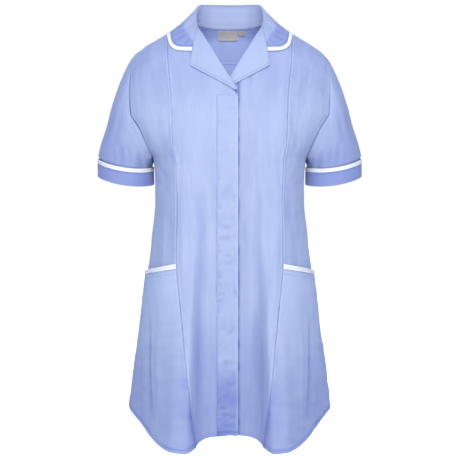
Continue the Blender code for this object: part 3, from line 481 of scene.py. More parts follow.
# Half of the collar: neck seam, centre of the roll, outer edge's x and z, and whether it lies behind
COLLAR = [
    ((0, 64, -3), (0, 70, 44.5), 0, -12, True),
    ((32, 59, -2), (33, 66, 44.5), 42, -13, True),
    ((56, 41, 0), (57, 49, 43), 84, -15, True),
    ((68, 17, 1), (66.5, 22, 31), 109, -14, True),
    ((70, 0, 0.6), (68, -1, 15), 115, -18, False),
    ((68.9, -14, -3.4), (66.5, -14, 2.5), 109, -42, False),
    ((66.2, -24, -9.5), (64.5, -24, -6), 92, -50, False),
]
# The lapel's outer edge: share of the way down its roll, x, z
LAPEL = [
    (0, 76, -86), (0.2, 60, -94.7), (0.4, 44, -103.4), (0.6, 28, -112),
    (0.8, 11, -121.3), (0.93, -1, -128), (1, -8.5, -133.5),
]


def bridge(start, leave, end, arrive, t):
    """The smooth way from a start to an end that leaves and arrives in given directions."""
    return (
        start * (2 * t**3 - 3 * t**2 + 1)
        + leave * (t**3 - 2 * t**2 + t)
        + end * (3 * t**2 - 2 * t**3)
        + arrive * (t**3 - t**2)
    )


class Curve:
    """A smooth curve through rows of keys and values that never swings past them."""

    def __init__(self, keys, values):
        self.keys, self.values = np.asarray(keys, dtype=float), np.asarray(values, dtype=float)
        steps = np.diff(self.keys)
        slopes = np.diff(self.values) / steps
        tangents = [slopes[0]]
        for before, after, step, following in zip(slopes, slopes[1:], steps, steps[1:]):
            if before * after <= 0:
                tangents.append(0.0)
                continue
            early, late = 2 * following + step, following + 2 * step
            tangents.append((early + late) / (early / before + late / after))
        self.tangents = np.array(tangents + [slopes[-1]])

    def __call__(self, key):
        key = np.clip(key, self.keys[0], self.keys[-1])
        i = np.clip(np.searchsorted(self.keys, key, side="right") - 1, 0, len(self.keys) - 2)
        step = self.keys[i + 1] - self.keys[i]
        leave, arrive = self.tangents[i] * step, self.tangents[i + 1] * step
        return bridge(self.values[i], leave, self.values[i + 1], arrive, (key - self.keys[i]) / step)


def table_curve(rows, value, key=0):
    """The curve of one column of a table against another."""
    ordered = sorted(rows, key=lambda row: row[key])
    return Curve([row[key] for row in ordered], [row[value] for row in ordered])


def eased(curve, last):
    """The curve from 0 to a last key with its sudden bends spread over a few steps."""
    keys = np.arange(0, last + EASE_STEP, EASE_STEP)
    around = EASE_STEP * np.arange(-EASE_REACH, EASE_REACH + 1)
    values = [np.mean(curve(np.abs(key + around))) for key in keys]
    values[-EASE_REACH:] = curve(keys[-EASE_REACH:])
    return Curve(keys, values)


half_width_at, front_at, front_fullness_at, back_at = (table_curve(BODY, k) for k in (1, 2, 3, 4))
ridge_at = eased(table_curve(SHOULDER_RIDGE, 1), SHOULDER_RIDGE[-1][0])
back_neck_at = table_curve(BACK_NECK, 1)
hem_x_at, hem_y_at, hem_z_at = (table_curve(HEM, k) for k in (1, 2, 3))
princess_x_at = table_curve(PRINCESS_SEAM, 1)
armhole_turn_at, armhole_z_at = (table_curve(ARMHOLE, k) for k in (1, 2))
SIDE_HEM_Z, BACK_HEM_Z = hem_z_at(92), hem_z_at(180)


def mix(a, b, share):
    return a + (b - a) * share


def smooth_step(value, low, high):
    t = np.clip((value - low) / (high - low), 0.0, 1.0)
    return t * t * (3 - 2 * t)


def unit(vectors):
    vectors = np.asarray(vectors, dtype=float)
    return vectors / np.linalg.norm(vectors, axis=-1, keepdims=True)


def plain_section(turn, z):
    """Width and depth of the smooth body at a turn from 0 to pi, before shoulders, bust and flutes."""
    s, c = np.sin(turn), np.cos(turn)
    depth = np.where(c > 0, front_at(z), back_at(z))
    fullness = np.where(c > 0, front_fullness_at(z), SECTION_FULLNESS)
    x = half_width_at(z) * s * (1 + SECTION_FULLNESS * c * c)
    y = -depth * c * (1 + fullness * s * s)
    return x, y


def torso(turn, z):
    """Points on the body's outer face."""
    turn, z = np.broadcast_arrays(np.asarray(turn, dtype=float), np.asarray(z, dtype=float))
    side = np.where(turn < 0, -1.0, 1.0)
    turn = np.abs(turn)
    x, y = plain_section(turn, z)
    drop = np.maximum(ridge_at(x) - z, 0.0)
    y = y * np.sqrt(1 - np.maximum(1 - drop / SHOULDER_ROUND, 0.0) ** 2)
    growth = np.maximum((z - FLUTE_TOP) / (FLUTE_HEM - FLUTE_TOP), 0.0) ** FLUTE_GROWTH
    plain_x, plain_y = plain_section(turn, FLUTE_HEM)
    degrees = np.degrees(turn)
    x = x + growth * (hem_x_at(degrees) - plain_x)
    y = y + growth * (hem_y_at(degrees) - plain_y)
    reach = np.where(z > BUST_Z, BUST_ABOVE, BUST_BELOW)
    bust = BUST_RISE * np.exp(-((x - BUST_X) / BUST_SPREAD) ** 2 - ((z - BUST_Z) / reach) ** 2)
    y = y - np.where(turn < math.pi / 2, bust, 0.0)
    return np.stack([side * x, y, z], axis=-1)


def torso_normal(turn, z):
    """Directions straight out of the body."""
    turn, z = np.broadcast_arrays(np.asarray(turn, dtype=float), np.asarray(z, dtype=float))
    x = np.abs(torso(turn, z)[..., 0])
    drop = ridge_at(x) - z
    rise = np.clip(drop / 2, *RISE_STEPS)
    across = torso(turn + TURN_STEP, z) - torso(turn - TURN_STEP, z)
    down = torso(turn, z - rise) - torso(turn, z + rise)
    slope = (ridge_at(x + RIDGE_STEP) - ridge_at(x - RIDGE_STEP)) * np.copysign(1.0, turn)
    crest = unit(np.stack([-slope, np.zeros_like(slope), np.ones_like(slope)], axis=-1))
    return np.where((drop < CREST_DEPTH)[..., None], crest, unit(np.cross(down, across)))


def halved(reaches, low, high):
    """The greatest value between two bounds at which a rising test still holds."""
    for _ in range(HALVINGS):
        middle = (low + high) / 2
        below = reaches(middle)
        low, high = np.where(below, middle, low), np.where(below, high, middle)
    return low


def turn_at(x, z):
    """The turn in front where the body is x wide; x below zero is past the centre."""
    x, z = np.broadcast_arrays(np.asarray(x, dtype=float), np.asarray(z, dtype=float))
    low, high = np.zeros(x.shape), np.full(x.shape, FRONT_LAST_TURN)
    return np.copysign(halved(lambda turn: torso(turn, z)[..., 0] < np.abs(x), low, high), x)


def front_point(x, z, out=0.0):
    """Points moved out from the front of the body, placed as they are seen from in front."""
    turn = turn_at(x, z)
    return torso(turn, z) + torso_normal(turn, z) * out


# Seams as functions of the row, each giving turns and heights
def princess_seam(row):
    heights = [ridge_at(PRINCESS_TOP_X), POCKET_INNER_Z, hem_z_at(PRINCESS_HEM_TURN)]
    z = np.interp(row, [0, POCKET_ROW, 1], heights)
    return turn_at(princess_x_at(z), z), z


def top_z(turn):
    """The height of the shoulder's ridge at a turn."""
    return ridge_at(plain_section(np.abs(turn), 0)[0])


def armhole(along, behind=False):
    from_side = np.radians(armhole_turn_at(along))
    turn = math.pi / 2 + from_side if behind else math.pi / 2 - from_side
    turn = mix(turn, SIDE_SEAM_TURN, smooth_step(along, UNDERARM_SHARE, 1.0))
    return turn, np.minimum(armhole_z_at(along), top_z(turn))


def armhole_and_side(row):
    arm_turn, arm_z = armhole(np.minimum(row / UNDERARM_ROW, 1))
    z = np.interp(row, [UNDERARM_ROW, POCKET_ROW, 1], [UNDERARM_Z, POCKET_OUTER_Z, SIDE_HEM_Z])
    above = row <= UNDERARM_ROW
    return np.where(above, arm_turn, SIDE_SEAM_TURN), np.where(above, arm_z, z)


def edge_line(rows, row):
    keys = [point[0] for point in rows]
    x = np.interp(row, keys, [point[1] for point in rows])
    z = np.interp(row, keys, [point[2] for point in rows])
    return turn_at(x, z), z


def place_between(start, end, share, row):
    """Places between two seams; the first row keeps to the shoulder's ridge, the last to the hem."""
    turn = mix(start[0], end[0], share)
    z = mix(start[1], end[1], share)
    straight = mix(top_z(start[0]), top_z(end[0]), share)
    z = z + (top_z(turn) - straight) * (1 - smooth_step(row, 0, RIDGE_UNTIL_SHARE))
    hem_start, hem_end = (hem_z_at(np.degrees(np.abs(edge[0]))) for edge in (start, end))
    hem = hem_z_at(np.degrees(np.abs(turn))) - mix(hem_start, hem_end, share)
    return turn, z + hem * smooth_step(row, HEM_FROM_SHARE, 1)


def front_places(rows, shares):
    """The left front from its princess seam to its edge; the right one mirrors it."""
    rows, shares = np.meshgrid(rows, shares, indexing="ij")
    middle = edge_line(PLACKET_LINE, rows)
    first = place_between(princess_seam(rows), middle, shares / PLACKET_SHARE, rows)
    past = (shares - PLACKET_SHARE) / (1 - PLACKET_SHARE)
    second = place_between(middle, edge_line(FRONT_EDGE, rows), past, rows)
    in_first = shares <= PLACKET_SHARE
    return np.where(in_first, first[0], second[0]), np.where(in_first, first[1], second[1])


def side_places(rows, shares):
    rows, shares = np.meshgrid(rows, shares, indexing="ij")
    return place_between(princess_seam(rows), armhole_and_side(rows), shares, rows)


def back_places(downs, shares):
    """The back below the yoke; a down under 1 is on the armhole, and past 1 on the side seam."""
    arm_turn, arm_z = armhole(mix(YOKE_ALONG, 1, np.minimum(downs, 1)), behind=True)
    rows = mix(UNDERARM_ROW, 1, np.maximum(downs - 1, 0))
    side_turn, side_z = armhole_and_side(np.maximum(rows, UNDERARM_ROW + 1e-9))
    edge_turn = np.where(downs <= 1, arm_turn, side_turn)[:, None]
    edge_z = np.where(downs <= 1, arm_z, side_z)[:, None]
    share = mix(BACK_UNDERARM_SHARE, 1, downs - 1)
    share = np.where(downs <= 1, BACK_UNDERARM_SHARE * downs, share)[:, None]
    turn = mix(edge_turn, FULL_TURN - edge_turn, shares[None, :])
    folded = np.minimum(turn, FULL_TURN - turn)
    inward = np.sin((folded - edge_turn) / (math.pi - edge_turn) * math.pi / 2)
    z = mix(edge_z, mix(YOKE_CENTRE_Z, BACK_HEM_Z, share), inward)
    hem = hem_z_at(np.degrees(folded)) - mix(SIDE_HEM_Z, BACK_HEM_Z, inward)
    z = z + hem * smooth_step(share, HEM_FROM_SHARE, 1)
    return np.where(turn <= math.pi, turn, turn - FULL_TURN), z


def yoke_top(turn):
    """The yoke's upper edge: the shoulder's ridge, then the neck seam behind."""
    x = plain_section(turn, 0)[0]
    return np.where(x >= NECK_X, ridge_at(x), back_neck_at(x))


def yoke_places(downs, shares):
    """The yoke from armhole to armhole; it has a column at each end of the neck seam."""
    neck_turn = math.pi - turn_at(NECK_X, 0)
    arm_turn, arm_z = armhole(YOKE_ALONG * downs, behind=True)
    arm_turn, arm_z, down = arm_turn[:, None], arm_z[:, None], downs[:, None]
    left = mix(arm_turn, neck_turn, np.clip(shares * 3, 0, 1)[None, :])
    middle = mix(neck_turn, FULL_TURN - neck_turn, np.clip(shares * 3 - 1, 0, 1)[None, :])
    right = mix(FULL_TURN - neck_turn, FULL_TURN - arm_turn, np.clip(shares * 3 - 2, 0, 1)[None, :])
    turn = np.where(shares <= 1 / 3, left, np.where(shares <= 2 / 3, middle, right))
    folded = np.minimum(turn, FULL_TURN - turn)
    inward = (folded - arm_turn) / (math.pi - arm_turn)
    bottom = mix(YOKE_ARMHOLE_Z, YOKE_CENTRE_Z, np.sin(inward * math.pi / 2))
    z = mix(yoke_top(folded), bottom, down)
    drop = arm_z - mix(yoke_top(arm_turn), YOKE_ARMHOLE_Z, down)
    z = z + drop * (1 - smooth_step(inward, 0, YOKE_EDGE_BLEND))
    return np.where(turn <= math.pi, turn, turn - FULL_TURN), z


def underlap_shift(points):
    """How far the wearer's left front lies inside the right one that passes over it."""
    zs = [point[2] for point in reversed(FRONT_EDGE)]
    edge_x = -np.interp(points[..., 2], zs, [point[1] for point in reversed(FRONT_EDGE)])
    return UNDERLAP_DEPTH * (1 - smooth_step(points[..., 0] - edge_x, UNDERLAP_FLAT, UNDERLAP_BLEND))


def mirrored(grid):
    return grid * np.array([-1.0, 1.0, 1.0])


def lengths_along(line):
    """The length of a line up to each of its points."""
    return np.concatenate([[0], np.cumsum(np.linalg.norm(np.diff(line, axis=0), axis=1))])


def point_at(key, keys, points):
    """The point of a line at a key, between its points' keys."""
    return np.array([np.interp(key, keys, points[:, axis]) for axis in range(3)])


# Uneven lines for puckers and folds
def ripple(along, pitch, seed):
    """A smooth uneven wave between about -1 and 1, with a crest every few pitches."""
    knots = np.random.RandomState(seed).uniform(-1, 1, RIPPLE_KNOTS)
    at = along / pitch + RIPPLE_START
    i = np.floor(at).astype(int) % (RIPPLE_KNOTS - 2)
    return mix(knots[i], knots[i + 1], smooth_step(at - np.floor(at), 0, 1))


def mottle(u, v, seed):
    """A smooth uneven field between about -1 and 1, with a knot at every whole number."""
    knots = np.random.RandomState(seed).uniform(-1, 1, (MOTTLE_KNOTS, MOTTLE_KNOTS))
    column, row = (np.floor(place).astype(int) % (MOTTLE_KNOTS - 1) for place in (u, v))
    s, t = (smooth_step(place - np.floor(place), 0, 1) for place in (u, v))
    upper = mix(knots[row, column], knots[row, column + 1], s)
    lower = mix(knots[row + 1, column], knots[row + 1, column + 1], s)
    return mix(upper, lower, t)


def path_distance(u, v, path):
    """How far places lie from a path, and how far along it the nearest point is, from 0 to 1."""
    keys = np.arange(len(path))
    fine = np.linspace(0, len(path) - 1, 4 * len(path) - 3)
    line = np.stack([Curve(keys, [p[k] for p in path])(fine) for k in (0, 1)], axis=1)
    steps = np.diff(line, axis=0)
    lengths = np.linalg.norm(steps, axis=1)
    gap, along, done = np.full(u.shape, np.inf), np.zeros(u.shape), 0.0
    for start, step, length in zip(line, steps, lengths):
        t = np.clip(((u - start[0]) * step[0] + (v - start[1]) * step[1]) / length**2, 0, 1)
        found = np.hypot(u - start[0] - t * step[0], v - start[1] - t * step[1])
        nearer = found < gap
        gap = np.where(nearer, found, gap)
        along = np.where(nearer, (done + t * length) / lengths.sum(), along)
        done += length
    return gap, along


def trough(gap, width):
    """A soft hollow with low banks."""
    share = (gap / width) ** 2
    return (CREASE_BANKS * share - 1) * np.exp(-CREASE_FALL * share)


def creases_rise(creases, u, v):
    """The height that creases give cloth; each is a path in millimetres, its width and its depth."""
    rise = np.zeros(u.shape)
    for path, width, depth in creases:
        gap, along = path_distance(u, v, path)
        rise += depth * trough(gap, width) * np.sin(math.pi * np.clip(along, 0, 1)) ** CREASE_ENDS
    return rise


def body_creases_rise(creases, turn, z):
    """The same on the body, where a path is turns in degrees and heights."""
    rise = np.zeros(turn.shape)
    for path, width, depth in creases:
        middle = path[len(path) // 2]
        at = math.radians(middle[0])
        span = torso(at + CREASE_TURN_STEP, middle[1]) - torso(at - CREASE_TURN_STEP, middle[1])
        speed = np.linalg.norm(span) / (2 * CREASE_TURN_STEP) * math.pi / 180
        line = [(place[0] * speed, place[1]) for place in path]
        rise += creases_rise([(line, width, depth)], np.degrees(np.abs(turn)) * speed, z)
    return rise


class Sheet:
    """A grid of cloth between four edges: start and end columns, top and bottom rows."""

    def __init__(self, base, normals, out=0.0, thickness=WALL, closed=False):
        self.base, self.normals = base, normals
        self.out, self.thickness, self.closed = out, thickness, closed
        across = np.linalg.norm(np.diff(base, axis=1), axis=-1)
        down = np.linalg.norm(np.diff(base, axis=0), axis=-1)
        self.start = np.pad(np.cumsum(across, axis=1), ((0, 0), (1, 0)))
        self.end = self.start[:, -1:] - self.start
        self.top = np.pad(np.cumsum(down, axis=0), ((1, 0), (0, 0)))
        self.bottom = self.top[-1:] - self.top
        self.rise = np.zeros(base.shape[:2])
        self.tone = np.zeros(base.shape[:2])
        self.free = np.full(base.shape[:2], np.inf)

    def gap(self, edge):
        """The distance of each point from a named edge."""
        return getattr(self, edge)

    def along(self, edge):
        """The distance of each point along a named edge."""
        return self.start if edge in ("top", "bottom") else self.top

    def seam(self, *edges, depth=0.45, reach=1.1, shade=0.25):
        """Rolls the cloth down into the seams on these edges, with painted shade in them."""
        for edge in edges:
            fall = np.exp(-(self.gap(edge) / reach) ** 2)
            self.rise -= depth * fall
            self.tone += shade * fall

    def pressed(self, edge, width=9.0, height=0.5, pale=0.25):
        """The ridge of turnings pressed to this side of a seam, with a painted highlight along it."""
        gap = self.gap(edge)
        ridge = smooth_step(gap, 0.6, 2.2) * (1 - smooth_step(gap, width - 1, width + 2))
        self.rise += height * ridge
        self.tone -= pale * ridge * (1 - smooth_step(gap, 0, width))

    def groove(self, edge, distance, depth=0.35, shade=0.35):
        """The dip along a line of stitches, with painted shade in it."""
        fall = np.exp(-((self.gap(edge) - distance) / 1.0) ** 2)
        self.rise -= depth * fall
        self.tone += shade * fall

    def pucker(self, edge, height, reach, pitch, seed, offset=0.0, lean=0.0, shade=0.1):
        """Small uneven gathers that run in from an edge, with painted shade in their hollows."""
        gap, along = np.abs(self.gap(edge) - offset), self.along(edge)
        wave = ripple(along + lean * gap, pitch, seed) * (0.6 + 0.4 * ripple(along, pitch * 6, seed + 1))
        self.rise += height * wave * np.exp(-gap / reach)
        self.tone += shade * np.maximum(-wave, 0) * np.exp(-gap / reach)

    def crumple(self, height, across, down, seed):
        """Soft uneven waves all over, as cloth that has been worn or folded keeps, painted paler on their
        crests and deeper in their hollows.
        """
        wave = mottle(self.start / across, self.top / down, seed)
        self.rise += height * wave
        self.tone -= 0.09 * height * wave

    def creased(self, rise, shade=HOLLOW_PAINTED_SHADE):
        """Takes the height of creases, with painted shade in their hollows."""
        self.rise += rise
        self.tone += shade * np.maximum(-rise, 0)

    def hem(self, edge, width=7.0, height=0.8, seed=3):
        """A narrow turned hem: a soft band with a dip where it is stitched, roped a little, with painted
        shade along the stitching and at its lower edge.
        """
        gap = self.gap(edge)
        band = 1 - smooth_step(gap, width - 1.5, width + 1.0)
        self.rise += band * (height + 0.22 * ripple(self.along(edge) + 0.7 * gap, 5.5, seed))
        self.groove(edge, width + 0.4, 0.6)
        self.tone += 0.45 * np.exp(-((gap - width - 0.4) / 1.2) ** 2) + 0.3 * np.exp(-gap / 2.2)

    def round_off(self, *edges):
        """Thins the cloth to a rounded fold at its free edges."""
        for edge in edges:
            self.free = np.minimum(self.free, self.gap(edge))

    def faces(self):
        """The outer and inner face."""
        half = self.thickness / 2
        share = np.clip(1 - self.free / half, 0, 1)
        half = (half * np.sqrt(1 - EDGE_ROUNDING * share**2))[..., None]
        middle = self.base + self.normals * (self.out + self.rise - self.thickness / 2)[..., None]
        return middle + self.normals * half, middle - self.normals * half

    def line(self, edge, distance, first=0.0, last=1.0):
        """A line on the outer face at a distance in from an edge, between two shares of its length."""
        grids = (self.gap(edge), self.faces()[0], self.normals)
        if edge in ("top", "bottom"):
            grids = (grid.swapaxes(0, 1) for grid in grids)
        if edge in ("end", "bottom"):
            grids = (grid[:, ::-1] for grid in grids)
        gap, outer, normals = grids
        rows = range(int(first * (len(gap) - 1)), int(last * (len(gap) - 1)) + 1)
        points = np.array([point_at(distance, gap[i], outer[i]) for i in rows])
        return points, unit([point_at(distance, gap[i], normals[i]) for i in rows])


def drawn_in(grid, edges):
    """The grid with its sewn edges drawn in a little, so that neighbours part."""
    grid = grid.copy()
    for edge in edges:
        axis, at, inner = EDGES[edge]
        lines = np.moveaxis(grid, axis, 0)
        lines[at] += unit(lines[inner] - lines[at]) * SEAM_INSET
    return grid


def grid_faces(rows, columns, closed=True):
    """A grid's quads, and its edges as pairs of points in the order that turns their walls outward."""
    index = np.arange(rows * columns).reshape(rows, columns)
    here = index if closed else index[:, :-1]
    following = np.roll(index, -1, axis=1) if closed else index[:, 1:]
    quads = np.stack([here[:-1], following[:-1], following[1:], here[1:]], axis=-1)
    pairs = [(following[0], here[0]), (here[-1], following[-1])]
    if not closed:
        pairs += [(index[:-1, 0], index[1:, 0]), (index[1:, -1], index[:-1, -1])]
    return quads.reshape(-1, 4), np.concatenate(pairs, axis=1)


def build_mesh(name, points, quads, weave=None, **shades):
    """A mesh in metres from points in millimetres and faces of four corners."""
    mesh = bpy.data.meshes.new(name)
    mesh.vertices.add(len(points))
    mesh.vertices.foreach_set("co", (points * MM).astype(np.float32).ravel())
    mesh.loops.add(quads.size)
    mesh.loops.foreach_set("vertex_index", quads.astype(np.int32).ravel())
    mesh.polygons.add(len(quads))
    mesh.polygons.foreach_set("loop_start", np.arange(0, quads.size, 4, dtype=np.int32))
    mesh.update(calc_edges=True)
    for key, values in shades.items():
        layer = mesh.attributes.new(key, "FLOAT", "POINT")
        layer.data.foreach_set("value", np.clip(values, -1, 1).astype(np.float32).ravel())
    if weave is not None:
        layer = mesh.uv_layers.new(name="weave")
        layer.data.foreach_set("uv", (weave[quads.ravel()] * MM).astype(np.float32).ravel())
    mesh.shade_smooth()
    mesh.set_sharp_from_angle(angle=SHARP_ANGLE)
    return mesh


def placed(name, data):
    thing = bpy.data.objects.new(name, data)
    bpy.context.scene.collection.objects.link(thing)
    return thing


def add_piece(name, mesh, material, replaces=()):
    mesh.materials.append(material)
    piece = placed(name, mesh)
    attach(piece, "root")
    if replaces:
        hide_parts(*replaces)
    return piece


def shell_mesh(name, sheet, weave):
    """The sheet's outer and inner face, joined by walls along its edges."""
    rows, columns = sheet.base.shape[:2]
    count = rows * columns
    points = np.concatenate([face.reshape(-1, 3) for face in sheet.faces()])
    quads, (first, second) = grid_faces(rows, columns, sheet.closed)
    walls = np.stack([first, second, second + count, first + count], axis=1)
    every = np.concatenate([quads, quads[:, ::-1] + count, walls])
    volume = 0.0
    for corners in ((0, 1, 2), (0, 2, 3)):
        p, q, r = (points[every[:, k]] for k in corners)
        volume += np.einsum("ij,ij->i", p, np.cross(q, r)).sum()
    if volume < 0:
        every = every[:, ::-1]
    weaves = np.tile(weave.reshape(-1, 2), (2, 1))
    tones = np.tile(sheet.tone.ravel(), 2)
    return build_mesh(name, points, every, weaves, tone=tones, inside=np.repeat((0.0, 1.0), count))


def cloth_piece(
    sheet, name, lines=(), slot="cloth", sewing="_stitches", from_top=True,
):
    """The sheet as a piece that stands for the CAD node of its name, with its stitches and its flat cut."""
    if lines:
        add_piece(name + sewing, stitch_mesh(name + sewing, lines), THREADS[slot])
    weave = np.stack([sheet.start, -sheet.top if from_top else sheet.bottom], axis=-1)
    piece = add_piece(name + "_cloth", shell_mesh(name, sheet, weave), FABRICS[slot], [name])


# Grids
def fine_steps(count, length, low=True, high=True):
    """Even shares of a length with closer ones next to its ends."""
    close = CLOSE_STEPS / length
    shares = [np.linspace(0, 1, count + 1)]
    if low:
        shares.append(close)
    if high:
        shares.append(1 - close)
    shares = np.unique(np.round(np.concatenate(shares), 6))
    keep = np.concatenate([[True], np.diff(shares) > LEAST_STEP / length])
    keep[-1] = True
    return shares[keep]


def grid_normals(grid, closed=False):
    """Directions square to a grid's surface."""
    if closed:
        across = np.roll(grid, -1, axis=1) - np.roll(grid, 1, axis=1)
    else:
        across = np.gradient(grid, axis=1)
    return unit(np.cross(np.gradient(grid, axis=0), across))


def body_sheet(places, sewn=(), out=0.0, shift=None, mirror=False):
    """Cloth on the body's form, sewn on some of its edges."""
    turn, z = places
    base, normals = torso(turn, z), torso_normal(turn, z)
    if shift:
        base = base - normals * shift(base)[..., None]
    base = drawn_in(base, sewn)
    if mirror:
        base, normals = mirrored(base), mirrored(normals)
    return Sheet(base, normals, out)


# Sleeves and cuffs
def cuff_ring(angle, height, grow=0.0):
    """Points of the cuff's ring; the angle runs from the outside to the front and the inside."""
    c, s = np.cos(angle), np.sin(angle)
    x = CUFF_CENTRE[0] + (CUFF_HALF_WIDTH + grow) * c
    y = CUFF_CENTRE[1] - (CUFF_HALF_DEPTH + grow) * s
    z = CUFF_CENTRE[2] + CUFF_TILT * c - CUFF_FRONT_DIP * s * s - CUFF_LEAN * s + height
    return np.stack(np.broadcast_arrays(x, y, z), axis=-1)


def armhole_loop(angles):
    """The seam round the armhole: half a turn down the front, then half up the back."""
    halves = []
    for behind in (False, True):
        points = torso(*armhole(np.linspace(0, 1, 400), behind))
        along = lengths_along(points)
        halves.append((math.pi * along / along[-1], points))
    places = []
    for angle in angles:
        along, points = halves[int(angle > math.pi)]
        places.append(point_at(min(angle, FULL_TURN - angle), along, points))
    return np.array(places)


def sleeve_grid(angles, shares):
    """Rows of points from the armhole to the end under the cuff."""
    start = armhole_loop(angles)[None]
    end = cuff_ring(angles, CUFF_HEIGHT - SLEEVE_UNDER_CUFF, -SLEEVE_NARROWING)[None]
    reach = np.linalg.norm(end - start, axis=-1, keepdims=True)
    c, s = np.cos(angles), np.sin(angles)
    middle, tilt, spread = SLEEVE_START_OUT
    out = middle + tilt * c + spread * c * c
    leave = unit(np.stack([out, -SLEEVE_START_FORWARD * s, 0 * c - SLEEVE_START_DOWN], axis=-1)) * reach
    outward = SLEEVE_END_OUT[0] + SLEEVE_END_OUT[1] * c
    arrive = np.stack([outward, 0 * c, 0 * c - 1.0], axis=-1) * reach
    return bridge(start, leave, end, arrive, shares[:, None, None])


# Collar and lapels
def plain_depth(x, z, behind):
    """The body's depth in front or behind where it is x wide, before the shoulder's cap."""
    low, high = np.zeros(x.shape), np.full(x.shape, math.pi / 2)
    turn = halved(lambda turn: plain_section(turn, z)[0] < x, low, high)
    return plain_section(np.where(behind, math.pi - turn, turn), z)[1]


def outside_level(points, clear):
    """Below zero inside the upper body swollen by a clearance, and above zero outside it."""
    x, y, z = np.moveaxis(points, -1, 0)
    drop = ridge_at(np.abs(x)) + clear - z
    depth = np.abs(plain_depth(np.abs(x), z, y > 0)) + clear
    share = 1 - np.maximum(1 - drop / SHOULDER_ROUND, 0) ** 2
    return y * y - depth * depth * share


def held_clear(points, clear):
    """The points, pushed straight out of the body where they would come too near."""
    for _ in range(CLEARING_STEPS):
        level = outside_level(points, clear)
        ahead = [outside_level(points + step, clear) for step in np.eye(3) * CLEARING_REACH]
        slope = (np.stack(ahead, axis=-1) - level[..., None]) / CLEARING_REACH
        push = slope * (level / np.sum(slope * slope, axis=-1))[..., None]
        points = np.where((level < 0)[..., None], points - push, points)
    return points


def fold_profiles(roll, tangent, out, edge, shares, tucks, start=None):
    """Lines from under the fold, round the roll and on to the outer edge, or from a neck seam."""
    tangent = unit(tangent)
    out = unit(out - tangent * np.sum(out * tangent, axis=-1, keepdims=True))
    up = np.cross(tangent, out)
    under = roll - out * FOLD_RADIUS
    if start is None:
        start = under - up * FOLD_TUCK
    points = [mix(start, under, t) for t in tucks]
    for angle in np.radians(np.arange(0, 180, ROLL_STEP)):
        points.append(roll + FOLD_RADIUS * (up * math.sin(angle) - out * math.cos(angle)))
    over = (roll + out * FOLD_RADIUS)[:, None]
    t = np.asarray(shares)[None, :, None]
    fall = mix(over, edge[:, None], t) + out[:, None] * FOLD_BULGE * np.sin(math.pi * t)
    return np.concatenate([np.stack(points, axis=1), held_clear(fall, COLLAR_CLEAR)], axis=1)


def lapel_profiles(stations, shares, tucks):
    """Lines across the left lapel at shares of the way from the gorge to the break."""
    top, end = np.array(LAPEL_ROLL_TOP), np.array(LAPEL_ROLL_END)
    seen, ahead, behind = (mix(top, end, stations[:, None] + step) for step in (0, LAPEL_STEP, -LAPEL_STEP))
    tangent = front_point(ahead[:, 0], ahead[:, 1]) - front_point(behind[:, 0], behind[:, 1])
    turn = turn_at(seen[:, 0], seen[:, 1])
    out = torso_normal(turn, seen[:, 1])
    roll = torso(turn, seen[:, 1]) + out * (FOLD_RADIUS - WALL / 2)
    outer = [table_curve(LAPEL, value)(stations) for value in (1, 2)]
    edge = front_point(*outer, COLLAR_CLEAR)
    return fold_profiles(roll, tangent, out, edge, shares, tucks)


def collar_edge():
    """The collar's outer edge at its stations."""
    x, z = (np.array([station[k] for station in COLLAR], dtype=float) for k in (2, 3))
    behind = np.array([station[4] for station in COLLAR])
    turn = turn_at(x, z)
    turn = np.where(behind, math.pi - turn, turn)
    height = np.minimum(z, ridge_at(x))
    return torso(turn, height) + torso_normal(turn, height) * COLLAR_CLEAR


def collar_profiles(keys, shares, tucks):
    """Lines across half of the collar, from the centre back at key 0 to the left lapel's gorge."""
    gorge = lapel_profiles(np.zeros(1), GORGE_SHARE * shares, tucks)[0]
    first, over = gorge[len(tucks)], gorge[-len(shares)]
    count = len(COLLAR)
    rails = []
    stations = ([s[0] for s in COLLAR], [s[1] for s in COLLAR], collar_edge())
    for values, last in zip(stations, (gorge[0], (first + over) / 2, gorge[-1])):
        values = np.concatenate([np.array(values, dtype=float), last[None]])
        rails.append([Curve(np.arange(count + 1), values[:, axis]) for axis in range(3)])

    def on(rail, at):
        return np.stack([axis(at) for axis in rail], axis=-1)

    neck, roll, edge = (on(rail, keys) for rail in rails)
    tangent = on(rails[1], keys + COLLAR_STEP) - on(rails[1], np.maximum(keys - COLLAR_STEP, 0))
    tangent[keys < COLLAR_STEP / 2] = (1, 0, 0)
    flat = unit(np.stack([-tangent[:, 1], tangent[:, 0], 0 * keys], axis=-1))
    turned = smooth_step(keys, count - COLLAR_TURN_STATIONS, count)[:, None]
    out = mix(flat, unit(over - first), turned)
    lines = fold_profiles(roll, tangent, out, edge, shares, tucks, neck)
    return mix(lines, gorge[None], smooth_step(keys, count - COLLAR_JOIN_STATIONS, count)[:, None, None])


